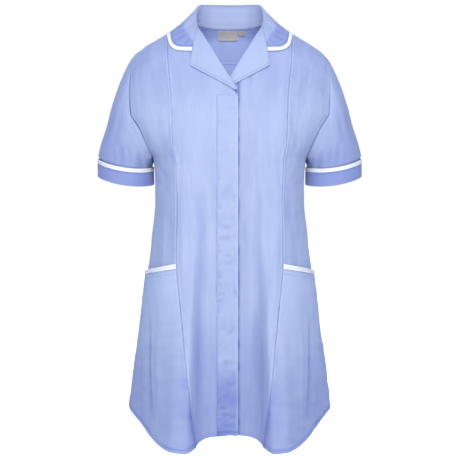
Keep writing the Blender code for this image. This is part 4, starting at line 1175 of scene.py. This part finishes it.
# Materials
class Nodes:
    """A short way to write a shader's node tree."""

    def __init__(self, name):
        self.material = bpy.data.materials.new(name)
        self.material.use_nodes = True
        self.tree = self.material.node_tree
        self.shader = self.tree.nodes["Principled BSDF"]

    def add(self, kind, inputs=(), output=0, **settings):
        """One output of a new node; each input is given as a value or as the socket that feeds it."""
        node = self.tree.nodes.new("ShaderNode" + kind)
        for key, value in settings.items():
            setattr(node, key, value)
        for key, value in dict(inputs).items():
            if isinstance(value, bpy.types.NodeSocket):
                self.tree.links.new(value, node.inputs[key])
            else:
                node.inputs[key].default_value = value
        return node.outputs[output]

    def weave(self):
        return self.add("UVMap", uv_map="weave")

    def place(self):
        return self.add("TexCoord", output="Object")

    def attribute(self, name):
        return self.add("Attribute", output="Fac", attribute_name=name)

    def maths(self, operation, first, second=0.0):
        return self.add("Math", {0: first, 1: second}, operation=operation)

    def times(self, first, second):
        return self.maths("MULTIPLY", first, second)

    def noise(self, vector, scale, detail=2.0):
        return self.add("TexNoise", {"Vector": vector, "Scale": scale, "Detail": detail})

    def ramp(self, value, low, high):
        return self.add("MapRange", {"Value": value, "From Min": low, "From Max": high})

    def blend(self, share, first, second):
        return self.add("Mix", {0: share, 6: first, 7: second}, 2, data_type="RGBA")

    def finish(self, colour, height=None, relief=0.0001, **constants):
        """The material with its colour, its relief in metres and the shader's constants."""
        self.tree.links.new(colour, self.shader.inputs["Base Color"])
        if height:
            bump = self.add("Bump", {"Height": height, "Strength": 1.0, "Distance": relief})
            self.tree.links.new(bump, self.shader.inputs["Normal"])
        for key, value in constants.items():
            self.shader.inputs[key.replace("_", " ")].default_value = value
        return self.material


def woven_height(nodes, weave, ribs, breaks):
    """The height of a woven face: slanting ribs broken into yarns, both as counts a metre."""
    u = nodes.add("SeparateXYZ", {0: weave})
    v = u.node.outputs[1]
    slant = nodes.maths("ADD", u, nodes.times(v, 0.8))
    rib = nodes.maths("SINE", nodes.times(slant, FULL_TURN * ribs))
    yarn = nodes.maths("SINE", nodes.times(nodes.maths("SUBTRACT", v, u), FULL_TURN * breaks))
    return nodes.maths("ADD", rib, nodes.times(yarn, 0.45))


def cloth_material():
    """Pale blue twill, a little uneven in colour, with painted shade in its seams, creases and hollows,
    painted light on its ridges and edges, and painted shade on its inner faces.
    """
    nodes = Nodes("cloth_twill")
    weave, tone = nodes.weave(), nodes.attribute("tone")
    slub = nodes.times(nodes.noise(weave, 2600.0), 0.8)
    height = nodes.maths("ADD", woven_height(nodes, weave, *TWILL_WEAVE), slub)
    cloudy = nodes.ramp(nodes.noise(nodes.place(), 9.0, 4.0), 0.3, 0.7)
    colour = nodes.blend(cloudy, CLOTH_COLOUR, CLOTH_SHADE)
    drawn = nodes.add("Mapping", {"Vector": weave, "Scale": STREAK_STRETCH})
    streaks = nodes.ramp(nodes.noise(drawn, 420.0, 3.0), 0.3, 0.7)
    colour = nodes.blend(nodes.times(streaks, 0.14), colour, CLOTH_PALE)
    flecks = nodes.ramp(nodes.noise(weave, 900.0), 0.35, 0.65)
    colour = nodes.blend(nodes.times(flecks, 0.08), colour, CLOTH_PALE)
    # Painted shade on the inner faces
    colour = nodes.blend(nodes.attribute("inside"), colour, CLOTH_INSIDE_SHADE)
    # Painted light toward the pale colour where the tone is below zero, and painted shade toward the deep
    # colour where it is above zero
    colour = nodes.blend(nodes.times(tone, -1.0), colour, CLOTH_PALE)
    colour = nodes.blend(tone, colour, CLOTH_PAINTED_SHADE)
    sheen = dict(Sheen_Weight=0.22, Sheen_Roughness=0.5, Sheen_Tint=(0.66, 0.76, 1.0, 1.0))
    return nodes.finish(colour, height, relief=0.00004, Roughness=0.54, Specular_IOR_Level=0.75, **sheen)


def tape_material():
    """White folded tape with a fine cross rib, with painted shade laid on by its tone."""
    nodes = Nodes("piping_tape")
    weave = nodes.weave()
    grime = nodes.ramp(nodes.noise(weave, 120.0, 4.0), 0.3, 0.75)
    colour = nodes.blend(nodes.attribute("tone"), nodes.blend(grime, TAPE_COLOUR, TAPE_SHADE), TAPE_PAINTED_SHADE)
    height = woven_height(nodes, weave, *TAPE_WEAVE)
    look = dict(Roughness=0.8, Sheen_Weight=0.1, Specular_IOR_Level=0.25)
    return nodes.finish(colour, height, relief=0.00007, **look)


def label_material():
    """Grey-beige woven tape."""
    nodes = Nodes("label_tape")
    weave = nodes.weave()
    patchy = nodes.ramp(nodes.noise(weave, 260.0, 3.0), 0.3, 0.7)
    colour = nodes.blend(patchy, LABEL_COLOUR, LABEL_SHADE)
    height = woven_height(nodes, weave, *LABEL_WEAVE)
    look = dict(Roughness=0.7, Sheen_Weight=0.1, Specular_IOR_Level=0.35)
    return nodes.finish(colour, height, relief=0.00005, **look)


def thread_material(name, colour, shade):
    nodes = Nodes(name)
    place = nodes.place()
    mixed, height = nodes.blend(nodes.noise(place, 700.0), colour, shade), nodes.noise(place, 5200.0)
    look = dict(Roughness=0.6, Sheen_Weight=0.15, Specular_IOR_Level=0.35)
    return nodes.finish(mixed, height, relief=0.00005, **look)


def button_material():
    nodes = Nodes("button_resin")
    place = nodes.place()
    clouds = nodes.ramp(nodes.noise(place, 160.0, 3.0), 0.35, 0.65)
    colour, height = nodes.blend(clouds, BUTTON_COLOUR, BUTTON_SHADE), nodes.noise(place, 900.0, 3.0)
    look = dict(Roughness=0.34, Coat_Weight=0.2, Coat_Roughness=0.2)
    return nodes.finish(colour, height, relief=0.00003, **look)


# Stitches
def spokes_of(first, second, count):
    """Directions all round, from a first one toward a second."""
    angles = FULL_TURN * np.arange(count) / count
    return first * np.cos(angles)[:, None] + second * np.sin(angles)[:, None]


def stitch_mesh(name, lines):
    """Short threads laid end to end along lines of points and outward directions."""
    threads, rings = [], len(STITCH_SHAPE)
    for line, ways in lines:
        along = lengths_along(line)
        for at in np.arange(STITCH_MARGIN, along[-1] - STITCH_MARGIN, STITCH_PITCH):
            ends = [point_at(at + half, along, line) for half in (-STITCH_LENGTH / 2, STITCH_LENGTH / 2)]
            forward = unit(ends[1] - ends[0])
            way = point_at(at, along, ways)
            way = unit(way - forward * np.dot(way, forward))
            spokes = spokes_of(np.cross(forward, way), way, STITCH_SIDES)
            for share, swell, lift in STITCH_SHAPE:
                centre = mix(ends[0], ends[1], share) + way * lift * STITCH_RADIUS
                threads.append(centre + spokes * swell * STITCH_RADIUS)
    points = np.concatenate(threads)
    firsts = np.arange(0, len(points), rings * STITCH_SIDES)
    quads = grid_faces(rings, STITCH_SIDES)[0][None] + firsts[:, None, None]
    return build_mesh(name, points, quads.reshape(-1, 4))


# The body's panels
def shade_shoulders(sheet):
    """The cloth turns away from the light where it slopes up over the shoulders."""
    sheet.tone += SHOULDER_TONE * smooth_step(sheet.base[..., 2], *SHOULDER_SPAN)


def shade_corner(sheet):
    """Painted shadow where the flute folds the cloth together along the lower end of the princess seam."""
    low = smooth_step(-sheet.base[..., 2], *CORNER_SPAN)
    sheet.tone += CORNER_TONE * np.exp(-sheet.start / CORNER_REACH) * low


def front_panel(name, right):
    rows, columns = fine_steps(268, 800), fine_steps(74, 125)
    turn, z = places = front_places(rows, columns)
    sheet = body_sheet(places, ("top", "start"), shift=None if right else underlap_shift, mirror=right)
    sheet.creased(body_creases_rise(BODY_CREASES, turn, z))
    sheet.crumple(0.9, 13.0, 80.0, 13 + right)
    sheet.crumple(0.3, 6.0, 18.0, 15 + right)
    sheet.pucker("start", 0.45, 5.0, 7.0, 11 + right, shade=0.25)
    sheet.seam("top", "start", shade=0.12)
    sheet.pressed("start", 6.0, 0.25, 0.4)
    shade_shoulders(sheet)
    shade_corner(sheet)
    sheet.hem("bottom", seed=21 + right)
    # Painted shade: the lower front near the centre is darker, as cloth that faces away from the light
    # above
    near_centre = 1 - smooth_step(np.degrees(np.abs(turn)), *LOW_TURNS)
    sheet.tone += LOW_TONE * (smooth_step(-z, *LOW_SPAN) * near_centre)
    beside_pocket = smooth_step(rows, POCKET_ROW, POCKET_EDGE_ROW + 0.01)[:, None]
    sheet.rise += BESIDE_POCKET * beside_pocket * np.exp(-(sheet.start / BESIDE_POCKET_REACH) ** 2)
    if right:
        under_band = smooth_step(columns, PLACKET_SHARE - 0.02, PLACKET_SHARE + 0.01)[None, :]
        under_band = under_band * smooth_step(rows, PLACKET_TOP_ROW - 0.01, PLACKET_TOP_ROW)[:, None]
        sheet.rise = sheet.rise * (1 - under_band) - BAND_SINK * under_band
    else:
        # Painted shadow: an uneven dark line on the left front where the placket's edge lies over it
        placket_shadow = np.exp(-((sheet.base[..., 0] - UNDERLAP_LINE) / UNDERLAP_LINE_REACH) ** 2)
        sheet.tone += placket_shadow * (0.5 + 0.4 * ripple(sheet.top, 15.0, 17))
    sheet.round_off("end", "bottom")
    stitches = sheet.line("bottom", HEM_STITCH, 0.01, PLACKET_SHARE if right else 0.99)
    cloth_piece(sheet, name, [stitches], sewing="_hem_stitches")


def placket(name):
    """The covered band on the right front, with its wrinkles and its lines of stitches."""
    rows = mix(PLACKET_TOP_ROW, 1, fine_steps(300, 640))
    columns = mix(PLACKET_SHARE, 1, fine_steps(24, 40))
    sheet = body_sheet(front_places(rows, columns), out=LAYER_GAP + WALL, mirror=True)
    x, z = -sheet.base[..., 0], sheet.base[..., 2]
    sheet.creased(BAND_DEPTH * creases_rise(PLACKET_CREASES, x, z), BAND_HOLLOW_PAINTED_SHADE)
    sheet.crumple(0.8, 16.0, 13.0, 37)
    # Painted shade: the band is darker toward the hem
    sheet.tone += BAND_TONE * smooth_step(-z, *BAND_SPAN) * (0.85 + 0.2 * ripple(-z, 30.0, 38))
    sheet.pucker("start", 2.2, 9.0, 9.0, 31, offset=2.0, lean=0.5, shade=0.3)
    sheet.pucker("end", 1.0, 6.0, 12.0, 33)
    # Painted highlight along the folded end edge
    sheet.tone -= 0.4 * np.exp(-((sheet.end - 1.6) / 1.4) ** 2)
    sheet.groove("start", BAND_STITCH, 0.45, 0.15)
    sheet.hem("bottom", seed=35)
    sheet.round_off(*EDGES)
    lines = [
        sheet.line("start", BAND_STITCH, 0.004, 0.985),
        *(sheet.line("top", distance, 0.05, 0.97) for distance in BAND_TOP_STITCHES),
        sheet.line("bottom", HEM_STITCH, 0.04, 0.97),
    ]
    cloth_piece(sheet, name, lines)


def side_panel(name, right):
    upper = mix(0, POCKET_ROW + 0.02, fine_steps(180, 480, high=False))
    lower = np.linspace(POCKET_ROW + 0.03, 1, 46)
    rows, columns = np.concatenate([upper, lower]), fine_steps(60, 105)
    turn, z = places = side_places(rows, columns)
    sheet = body_sheet(places, ("top", "start", "end"), mirror=right)
    sheet.crumple(0.8, 15.0, 55.0, 45 + right)
    sheet.crumple(0.3, 6.0, 18.0, 47 + right)
    sheet.pucker("start", 0.55, 6.0, 6.5, 41 + right, shade=0.25)
    sheet.pucker("end", 0.4, 6.0, 8.0, 43 + right)
    sheet.seam("top", "start", "end", shade=0.12)
    sheet.pressed("start", 4.5, 0.5, 0.4)
    sheet.pressed("end", 5.0, 0.5, 0.7)
    shade_shoulders(sheet)
    # Painted shade and light: deeper next to the princess seam and paler toward the side seam, below the
    # bust
    sheet.tone += mix(*SIDE_TONES, columns)[None, :] * smooth_step(-z, *SIDE_SPAN)
    under_pocket = smooth_step(rows, POCKET_ROW + 0.004, POCKET_ROW + 0.02)[:, None]
    sheet.rise = sheet.rise * (1 - under_pocket) - POCKET_SINK * under_pocket
    sheet.creased(body_creases_rise(BODY_CREASES, turn, z))
    sheet.round_off("bottom")
    cloth_piece(sheet, name, [sheet.line("end", ARMHOLE_STITCH, 0.01, 0.5)], sewing="_armhole_stitches")


def pocket_room(shares, distance):
    """The room behind the pocket: widest near the middle of its mouth, least along its seams."""
    room = POCKET_ROOM_MIDDLE * np.sin(math.pi * shares) + POCKET_ROOM_SIDE * shares
    return LAYER_GAP + room * np.exp(-distance / POCKET_ROOM_REACH)


def pocket_waves_and_painted_light(sheet, right):
    """Soft waves that lie along the mouth and others that hang below it, the lying ones painted paler on
    their crests and deeper in their hollows; the mouth itself stays flat.
    """
    settled = smooth_step(sheet.top, *SETTLED_SPAN)
    lying = 0.55 * mottle(sheet.start / 34.0, sheet.top / 11.0, 50 + right)
    hanging = 0.5 + 0.8 * mottle(sheet.start / 16.0, sheet.top / 50.0, 52 + right)
    sheet.rise += settled * (lying + hanging)
    sheet.tone -= 0.14 * settled * lying


def pocket(name, right):
    rows = mix(POCKET_EDGE_ROW + 0.0005, 1, fine_steps(120, 330))
    columns = fine_steps(62, 115)
    turn, z = places = side_places(rows, columns)
    sheet = body_sheet(places, ("start", "end"), out=WALL, mirror=right)
    sheet.creased(body_creases_rise(BODY_CREASES, turn, z))
    sheet.rise += pocket_room(columns[None, :], sheet.top)
    # Painted light and shade: paler just under the mouth, deeper lower down, and deeper on the outer lower
    # part that turns away from the lamps
    sheet.tone += mix(MOUTH_TONE, POCKET_TONE, smooth_step(sheet.top, *MOUTH_SPAN))
    sheet.tone += OUTER_TONE * smooth_step(np.degrees(turn), *OUTER_TURNS) * smooth_step(-z, *OUTER_SPAN)
    shade_corner(sheet)
    pocket_waves_and_painted_light(sheet, right)
    sewn_down = -(sheet.end / POCKET_SEAM_REACH) ** 2
    sheet.rise -= POCKET_ROOM_SIDE * np.exp(sewn_down - sheet.top / POCKET_ROOM_REACH)
    sheet.pucker("start", 1.2, 9.0, 8.0, 51 + right, shade=0.4)
    sheet.pucker("end", 0.7, 7.0, 9.0, 53 + right)
    sheet.pucker("top", 0.3, 7.0, 9.0, 55 + right, lean=0.4)
    # Painted shade in the seams, deeper toward the hem
    sheet.seam("start", "end", shade=0.1 + 0.5 * smooth_step(sheet.top, 180, 300))
    sheet.pressed("start", 4.5, 0.3)
    for distance in POCKET_STITCHES:
        sheet.groove("top", distance, 0.3)
    sheet.hem("bottom", seed=57 + right)
    sheet.round_off("top", "bottom")
    lines = [sheet.line("top", distance, 0.02, 0.98) for distance in POCKET_STITCHES]
    lines.append(sheet.line("bottom", HEM_STITCH, 0.02, 0.98))
    cloth_piece(sheet, name, lines)


def tape(sheet):
    """Gives a strip of folded tape its middle groove, with painted shade in it, and rounded edges; its rows
    run across it.
    """
    width = sheet.top[-1:]
    middle = 0.35 * np.exp(-((sheet.top / width - 0.5) * width / 0.7) ** 2)
    sheet.rise -= middle
    sheet.tone += middle
    sheet.round_off("top", "bottom")


def pocket_piping(name, right):
    rows, columns = mix(POCKET_ROW, POCKET_EDGE_ROW, TAPE_STEPS), fine_steps(90, 115)
    places = side_places(rows, columns)
    sheet = body_sheet(places, ("start", "end"), out=PIPING_THICKNESS, mirror=right)
    sheet.creased(body_creases_rise(BODY_CREASES, *places))
    sheet.rise += pocket_room(columns[None, :], np.zeros((1, 1)))
    sheet.rise -= POCKET_ROOM_SIDE * np.exp(-(sheet.end / POCKET_SEAM_REACH) ** 2)
    tape(sheet)
    sheet.pucker("top", 0.12, 30.0, 6.0, 61 + right)
    cloth_piece(sheet, name, slot="piping")


def back_panel(name):
    downs = np.concatenate([fine_steps(62, 170, high=False), 1 + np.linspace(0, 1, 171)[1:]])
    downs = np.unique(np.concatenate([downs, 2 - CLOSE_STEPS / 500]))
    turn, z = places = back_places(downs, fine_steps(132, 450))
    sheet = body_sheet(places, ("top", "start", "end"))
    sheet.creased(BACK_DEPTH * body_creases_rise(BACK_CREASES, turn % FULL_TURN, z))
    sheet.crumple(0.6, 18.0, 70.0, 72)
    sheet.crumple(0.22, 7.0, 16.0, 74)
    sheet.pucker("top", 0.3, 7.0, 9.0, 71)
    sheet.pucker("start", 0.4, 6.0, 8.0, 73)
    sheet.pucker("end", 0.4, 6.0, 8.0, 75)
    sheet.seam("top", "start", "end")
    sheet.hem("bottom", seed=77)
    sheet.round_off("bottom")
    cloth_piece(sheet, name, [sheet.line("bottom", HEM_STITCH, 0.01, 0.99)])


def back_yoke(name):
    third = fine_steps(36, 105)
    columns = np.concatenate([third / 3, (1 + fine_steps(60, 160)) / 3, (2 + third) / 3])
    turn, z = places = yoke_places(fine_steps(24, 75), np.unique(np.round(columns, 6)))
    sheet = body_sheet(places, ("top", "bottom", "start", "end"))
    sheet.creased(body_creases_rise(YOKE_CREASES, turn % FULL_TURN, z))
    sheet.crumple(0.35, 16.0, 30.0, 85)
    sheet.pucker("bottom", 0.25, 6.0, 8.0, 81)
    sheet.pucker("top", 0.25, 5.0, 8.0, 83)
    sheet.seam("top", "bottom", "start", "end")
    sheet.pressed("bottom", 5.0, 0.45)
    cloth_piece(sheet, name, [sheet.line("bottom", YOKE_STITCH, 0.01, 0.99)], from_top=False)


# Sleeves, cuffs and their piping
def ring_sheet(grid, right, thickness=WALL):
    normals = -grid_normals(grid, closed=True)
    if right:
        grid, normals = mirrored(grid), mirrored(normals)
    return Sheet(grid, normals, 0.0, thickness, closed=True)


def sleeve(name, right):
    shares = fine_steps(66, 150, high=False)
    grid = drawn_in(sleeve_grid(RING_ANGLES, shares), ("top",))
    sheet = ring_sheet(grid, right)
    u, v = np.meshgrid(RING_AROUND, shares * SLEEVE_DOWN)
    creases = []
    for path, width, depth in SLEEVE_CREASES:
        line = [(around * SLEEVE_DEGREE, down * SLEEVE_DOWN) for around, down in path]
        creases.append((line, width, depth))
    sheet.creased(creases_rise(creases, u, v))
    above = grid[..., 2] - cuff_ring(RING_ANGLES, CUFF_HEIGHT)[None, :, 2]
    inside = -np.cos(RING_ANGLES)
    swell = SLEEVE_FILL[0] + SLEEVE_FILL[1] * smooth_step(above, *SLEEVE_STEP_SPAN)
    fading = 1 - smooth_step(above, *SLEEVE_FADE_SPAN)
    sheet.rise += swell * fading * (1 - SLEEVE_INSIDE * smooth_step(inside, *INSIDE_SPAN))
    gathers = ripple(u, 11.0, 91 + right) * np.exp(-(SLEEVE_DOWN - v - 10) ** 2 / 900)
    sheet.creased(0.7 * gathers * np.sin(RING_ANGLES / 2) ** 2, 0.15)
    sheet.rise += 0.3 * ripple(u, 8.0, 93 + right) * np.exp(-sheet.top / 7)
    # Painted shade in the armhole seam, deeper under the arm where the sleeve falls away
    sheet.seam("top", depth=0.8, reach=1.8, shade=0.05 + 0.4 * smooth_step(inside, -0.2, 0.5))
    # Painted shade: the sleeve is deeper than the body, more so toward the cuff
    sheet.tone += SLEEVE_TONE * (0.4 + 0.6 * smooth_step(v, 0.2 * SLEEVE_DOWN, 0.9 * SLEEVE_DOWN))
    cloth_piece(sheet, name)


def cuff(name, right):
    top = CUFF_HEIGHT - PIPING_WIDTH - LAYER_GAP
    heights = top * (1 - fine_steps(12, top))
    sheet = ring_sheet(cuff_ring(RING_ANGLES[None, :], heights[:, None], CUFF_WALL), right, CUFF_WALL)
    sheet.rise += 0.25 * ripple(RING_AROUND[None, :] + 0.5 * sheet.top, 16.0, 101 + right)
    sheet.groove("top", CUFF_STITCH, 0.3)
    # Painted shade: the cuff is deeper than the body
    sheet.tone += CUFF_TONE
    sheet.round_off("top", "bottom")
    ring = [np.concatenate([part, part[:1]]) for part in sheet.line("top", CUFF_STITCH)]
    cloth_piece(sheet, name, [ring])


def cuff_piping(name, right):
    heights = CUFF_HEIGHT - PIPING_WIDTH * TAPE_STEPS
    grid = cuff_ring(RING_ANGLES[None, :], heights[:, None], PIPING_THICKNESS)
    sheet = ring_sheet(grid, right, PIPING_THICKNESS)
    tape(sheet)
    cloth_piece(sheet, name, slot="piping")


# Collar and lapels
def lapel_sheets():
    stations, shares = fine_steps(56, 140), fine_steps(34, 70, low=False)
    grid = lapel_profiles(stations, shares, LAPEL_TUCKS)
    normals = grid_normals(grid)
    gap = underlap_shift(grid)[..., None] * np.array([0, 1.0, 0])
    for name, points in (("lapel_left", grid + gap), ("lapel_right", grid)):
        right = name == "lapel_right"
        points, ways = drawn_in(points, ("top",)), normals
        if right:
            points, ways = mirrored(points), mirrored(normals)
        sheet = Sheet(points, ways, WALL / 2)
        sheet.seam("top", depth=0.35, reach=1.2)
        sheet.pucker("end", 0.22, 5.0, 8.0, 111 + right, offset=3.0)
        sheet.groove("end", LAPEL_STITCH, 0.25)
        wide = smooth_step(sheet.start + sheet.end, *LAPEL_NARROW_SPAN)
        sheet.rise, sheet.tone = sheet.rise * wide, sheet.tone * wide
        sheet.round_off("start", "end", "bottom")
        cloth_piece(sheet, name, [sheet.line("end", LAPEL_STITCH, 0.03, 0.97)])


def collar_grid(shares, tucks):
    """The whole collar, from the right lapel's gorge round the neck to the left one's."""
    count = len(COLLAR)
    keys = np.concatenate([np.linspace(0, count, COLLAR_LINES * count + 1), count - COLLAR_LAST_KEYS])
    half = collar_profiles(np.unique(keys), shares, tucks)
    return np.concatenate([mirrored(half[::-1]), half[1:]])


def collar(grid, normals):
    sheet = Sheet(drawn_in(grid, ("top", "bottom", "start")), normals, COLLAR_WALL / 2, COLLAR_WALL)
    sheet.seam("start", depth=0.3)
    sheet.seam("top", "bottom", depth=0.35, reach=1.2)
    sheet.pucker("end", 0.3, 6.0, 7.0, 121, offset=2.0)
    sheet.pucker("start", 0.3, 8.0, 9.0, 123)
    from_centre = np.abs(sheet.top - sheet.top[-1:] / 2)
    sheet.creased(creases_rise(COLLAR_CREASES, from_centre, sheet.start), 0.1)
    # Painted shade on the collar's fall, which turns away from the lamps
    sheet.tone += FALL_TONE * smooth_step(sheet.start, *FALL_SPAN)
    sheet.groove("start", STAND_STITCH, 0.25)
    sheet.groove("end", COLLAR_STITCH, 0.3)
    sheet.round_off("start", "end")
    lines = [sheet.line("start", STAND_STITCH, 0.03, 0.97), sheet.line("end", COLLAR_STITCH, 0.01, 0.99)]
    cloth_piece(sheet, "collar", lines)


def collar_piping(grid, normals):
    """Tape along the outer edge, which ends beside the lapels and leans along them there."""
    edge, ways = grid[:, -1], unit(grid[:, -1] - grid[:, -8])
    shares = np.array([GORGE_SHARE, GORGE_SHARE + GORGE_STEP])
    gorge = lapel_profiles(np.zeros(1), shares, np.array([0.0]))[0, -2:]
    free = unit(gorge[1] - gorge[0])
    beside = unit(edge[4] - edge[0])
    near = (1 - smooth_step(lengths_along(edge), 0, PIPING_END_REACH))[:, None]
    trim = edge + 0
    for share, lean, aside in ((near, mirrored(free), beside), (near[::-1], free, mirrored(beside))):
        ways = mix(ways, lean[None], share)
        trim += aside * PIPING_GAP * share
    distances = mix(PIPING_GAP, COLLAR_TAPE, TAPE_STEPS)[:, None, None]
    lines = held_clear(trim[None] + unit(ways)[None] * distances, COLLAR_CLEAR)
    outward = np.broadcast_to(normals[None, :, -1], lines.shape)
    strip = Sheet(lines, outward, PIPING_THICKNESS / 2, PIPING_THICKNESS)
    tape(strip)
    strip.round_off("start", "end")
    cloth_piece(strip, "collar_piping", slot="piping")


# Labels and buttons
def label(name, left, right, top, bottom):
    columns, rows = fine_steps(40, right - left), fine_steps(16, top - bottom)
    x, z = np.meshgrid(mix(left, right, columns), mix(top, bottom, rows))
    turn = np.copysign(math.pi - np.abs(turn_at(x, z)), x)
    sheet = Sheet(torso(turn, z), -torso_normal(turn, z), WALL + LABEL_GAP + LABEL_WALL, LABEL_WALL)
    sheet.rise += 0.25 * ripple(sheet.start + 0.3 * sheet.top, 13.0, 131)
    sheet.groove("start", LABEL_STITCH, 0.2)
    sheet.groove("end", LABEL_STITCH, 0.2)
    sheet.round_off(*EDGES)
    lines = [sheet.line(edge, LABEL_STITCH, 0.08, 0.92) for edge in ("start", "end")]
    cloth_piece(sheet, name, lines, "label")


def button(name, z):
    """A flat button with a raised rim, on the underlap and hidden by the placket."""
    out = unit(torso_normal(BUTTON_TURN, z) * [0, 1, 1])
    up = unit(np.cross(out, [1.0, 0, 0]))
    seat = torso(0.0, z) - out * (UNDERLAP_DEPTH - LAYER_GAP)
    spokes = spokes_of(np.array([1.0, 0, 0]), up, BUTTON_SIDES)
    rings = []
    for radius, lift in BUTTON_PROFILE:
        rings.append(seat + out * lift * BUTTON_THICKNESS + spokes * radius * BUTTON_RADIUS)
    quads, _ = grid_faces(len(BUTTON_PROFILE), BUTTON_SIDES)
    mesh = build_mesh(name, np.concatenate(rings), quads)
    add_piece(name + "_resin", mesh, resin, [name])


# The stage
def floor(name):
    """A wide pale floor under the garment, bright enough to pass into the white behind it."""
    (x0, y0), (x1, y1) = FLOOR_CORNERS
    points = np.array([(x, y, FLOOR_Z) for x, y in ((x0, y0), (x1, y0), (x1, y1), (x0, y1))])
    nodes = Nodes(name)
    speck = nodes.blend(nodes.noise(nodes.place(), 3.0), FLOOR_COLOUR, FLOOR_SHADE)
    seen = nodes.add("LightPath", output="Is Camera Ray")
    nodes.tree.links.new(seen, nodes.shader.inputs["Emission Strength"])
    mesh = build_mesh(name, points, np.array([[0, 1, 2, 3]]))
    mesh.materials.append(nodes.finish(speck, Roughness=0.95, Emission_Color=(1, 1, 1, 1)))
    placed(name, mesh)


def lamp(name, place, target, size, power, glossy):
    light = bpy.data.lights.new(name, "AREA")
    light.shape = "RECTANGLE"
    light.size, light.size_y = size
    light.energy = power
    light.color = LAMP_COLOUR
    holder = placed(name, light)
    holder.location = place
    holder.rotation_euler = (Vector(target) - Vector(place)).to_track_quat("-Z", "Y").to_euler()
    holder.visible_camera = False
    holder.visible_glossy = glossy


def studio_world():
    """White where the camera looks past the floor, and a soft bluish light for all else."""
    world = bpy.data.worlds.new("studio")
    bpy.context.scene.world = world
    world.use_nodes = True
    nodes, links = world.node_tree.nodes, world.node_tree.links
    seen, soft = nodes["Background"], nodes.new("ShaderNodeBackground")
    seen.inputs["Color"].default_value = (1, 1, 1, 1)
    soft.inputs["Color"].default_value = WORLD_COLOUR
    soft.inputs["Strength"].default_value = WORLD_STRENGTH
    mixer, path = nodes.new("ShaderNodeMixShader"), nodes.new("ShaderNodeLightPath")
    for number, socket in enumerate((path.outputs["Is Camera Ray"], soft.outputs[0], seen.outputs[0])):
        links.new(socket, mixer.inputs[number])
    links.new(mixer.outputs[0], nodes["World Output"].inputs["Surface"])


def camera():
    """Level with the garment's upper half and a little above it, as in the photograph."""
    lens = bpy.data.cameras.new("camera")
    lens.sensor_width, lens.lens = CAMERA_SENSOR, CAMERA_LENS
    lens.shift_x, lens.shift_y = CAMERA_SHIFT
    holder = placed("camera", lens)
    tilt = math.radians(CAMERA_ELEVATION)
    reach = CAMERA_DISTANCE * np.array([0, -math.cos(tilt), math.sin(tilt)])
    holder.location = np.array(CAMERA_TARGET) + reach
    holder.rotation_euler = (math.pi / 2 - tilt, 0, 0)
    bpy.context.scene.camera = holder


FABRICS = {"cloth": cloth_material(), "piping": tape_material(), "label": label_material()}
THREADS = {
    "cloth": thread_material("blue_thread", THREAD_COLOUR, THREAD_SHADE),
    "label": thread_material("label_thread", WHITE_THREAD, WHITE_THREAD_SHADE),
}
resin = button_material()

PAIRS = {
    "front": front_panel,
    "side_front": side_panel,
    "pocket": pocket,
    "pocket_piping": pocket_piping,
    "sleeve": sleeve,
    "cuff": cuff,
    "cuff_piping": cuff_piping,
}
for side in ("left", "right"):
    for kind, make in PAIRS.items():
        make(f"{kind}_{side}", side == "right")
placket("front_placket")
back_panel("back_panel")
back_yoke("back_yoke")
lapel_sheets()
collar_points = collar_grid(fine_steps(26, 55, low=False), np.linspace(0, 1, 14, endpoint=False))
for make in (collar, collar_piping):
    make(collar_points, grid_normals(collar_points))
for values in LABELS:
    label(*values)
for number in range(BUTTON_COUNT):
    button(f"button_{number + 1}", BUTTON_TOP_Z - number * BUTTON_PITCH)

floor("studio_floor")
studio_world()
for values in LAMPS:
    lamp(*values)
camera()
bpy.context.scene.view_settings.view_transform = "Standard"
bpy.context.scene.view_settings.look = "None"
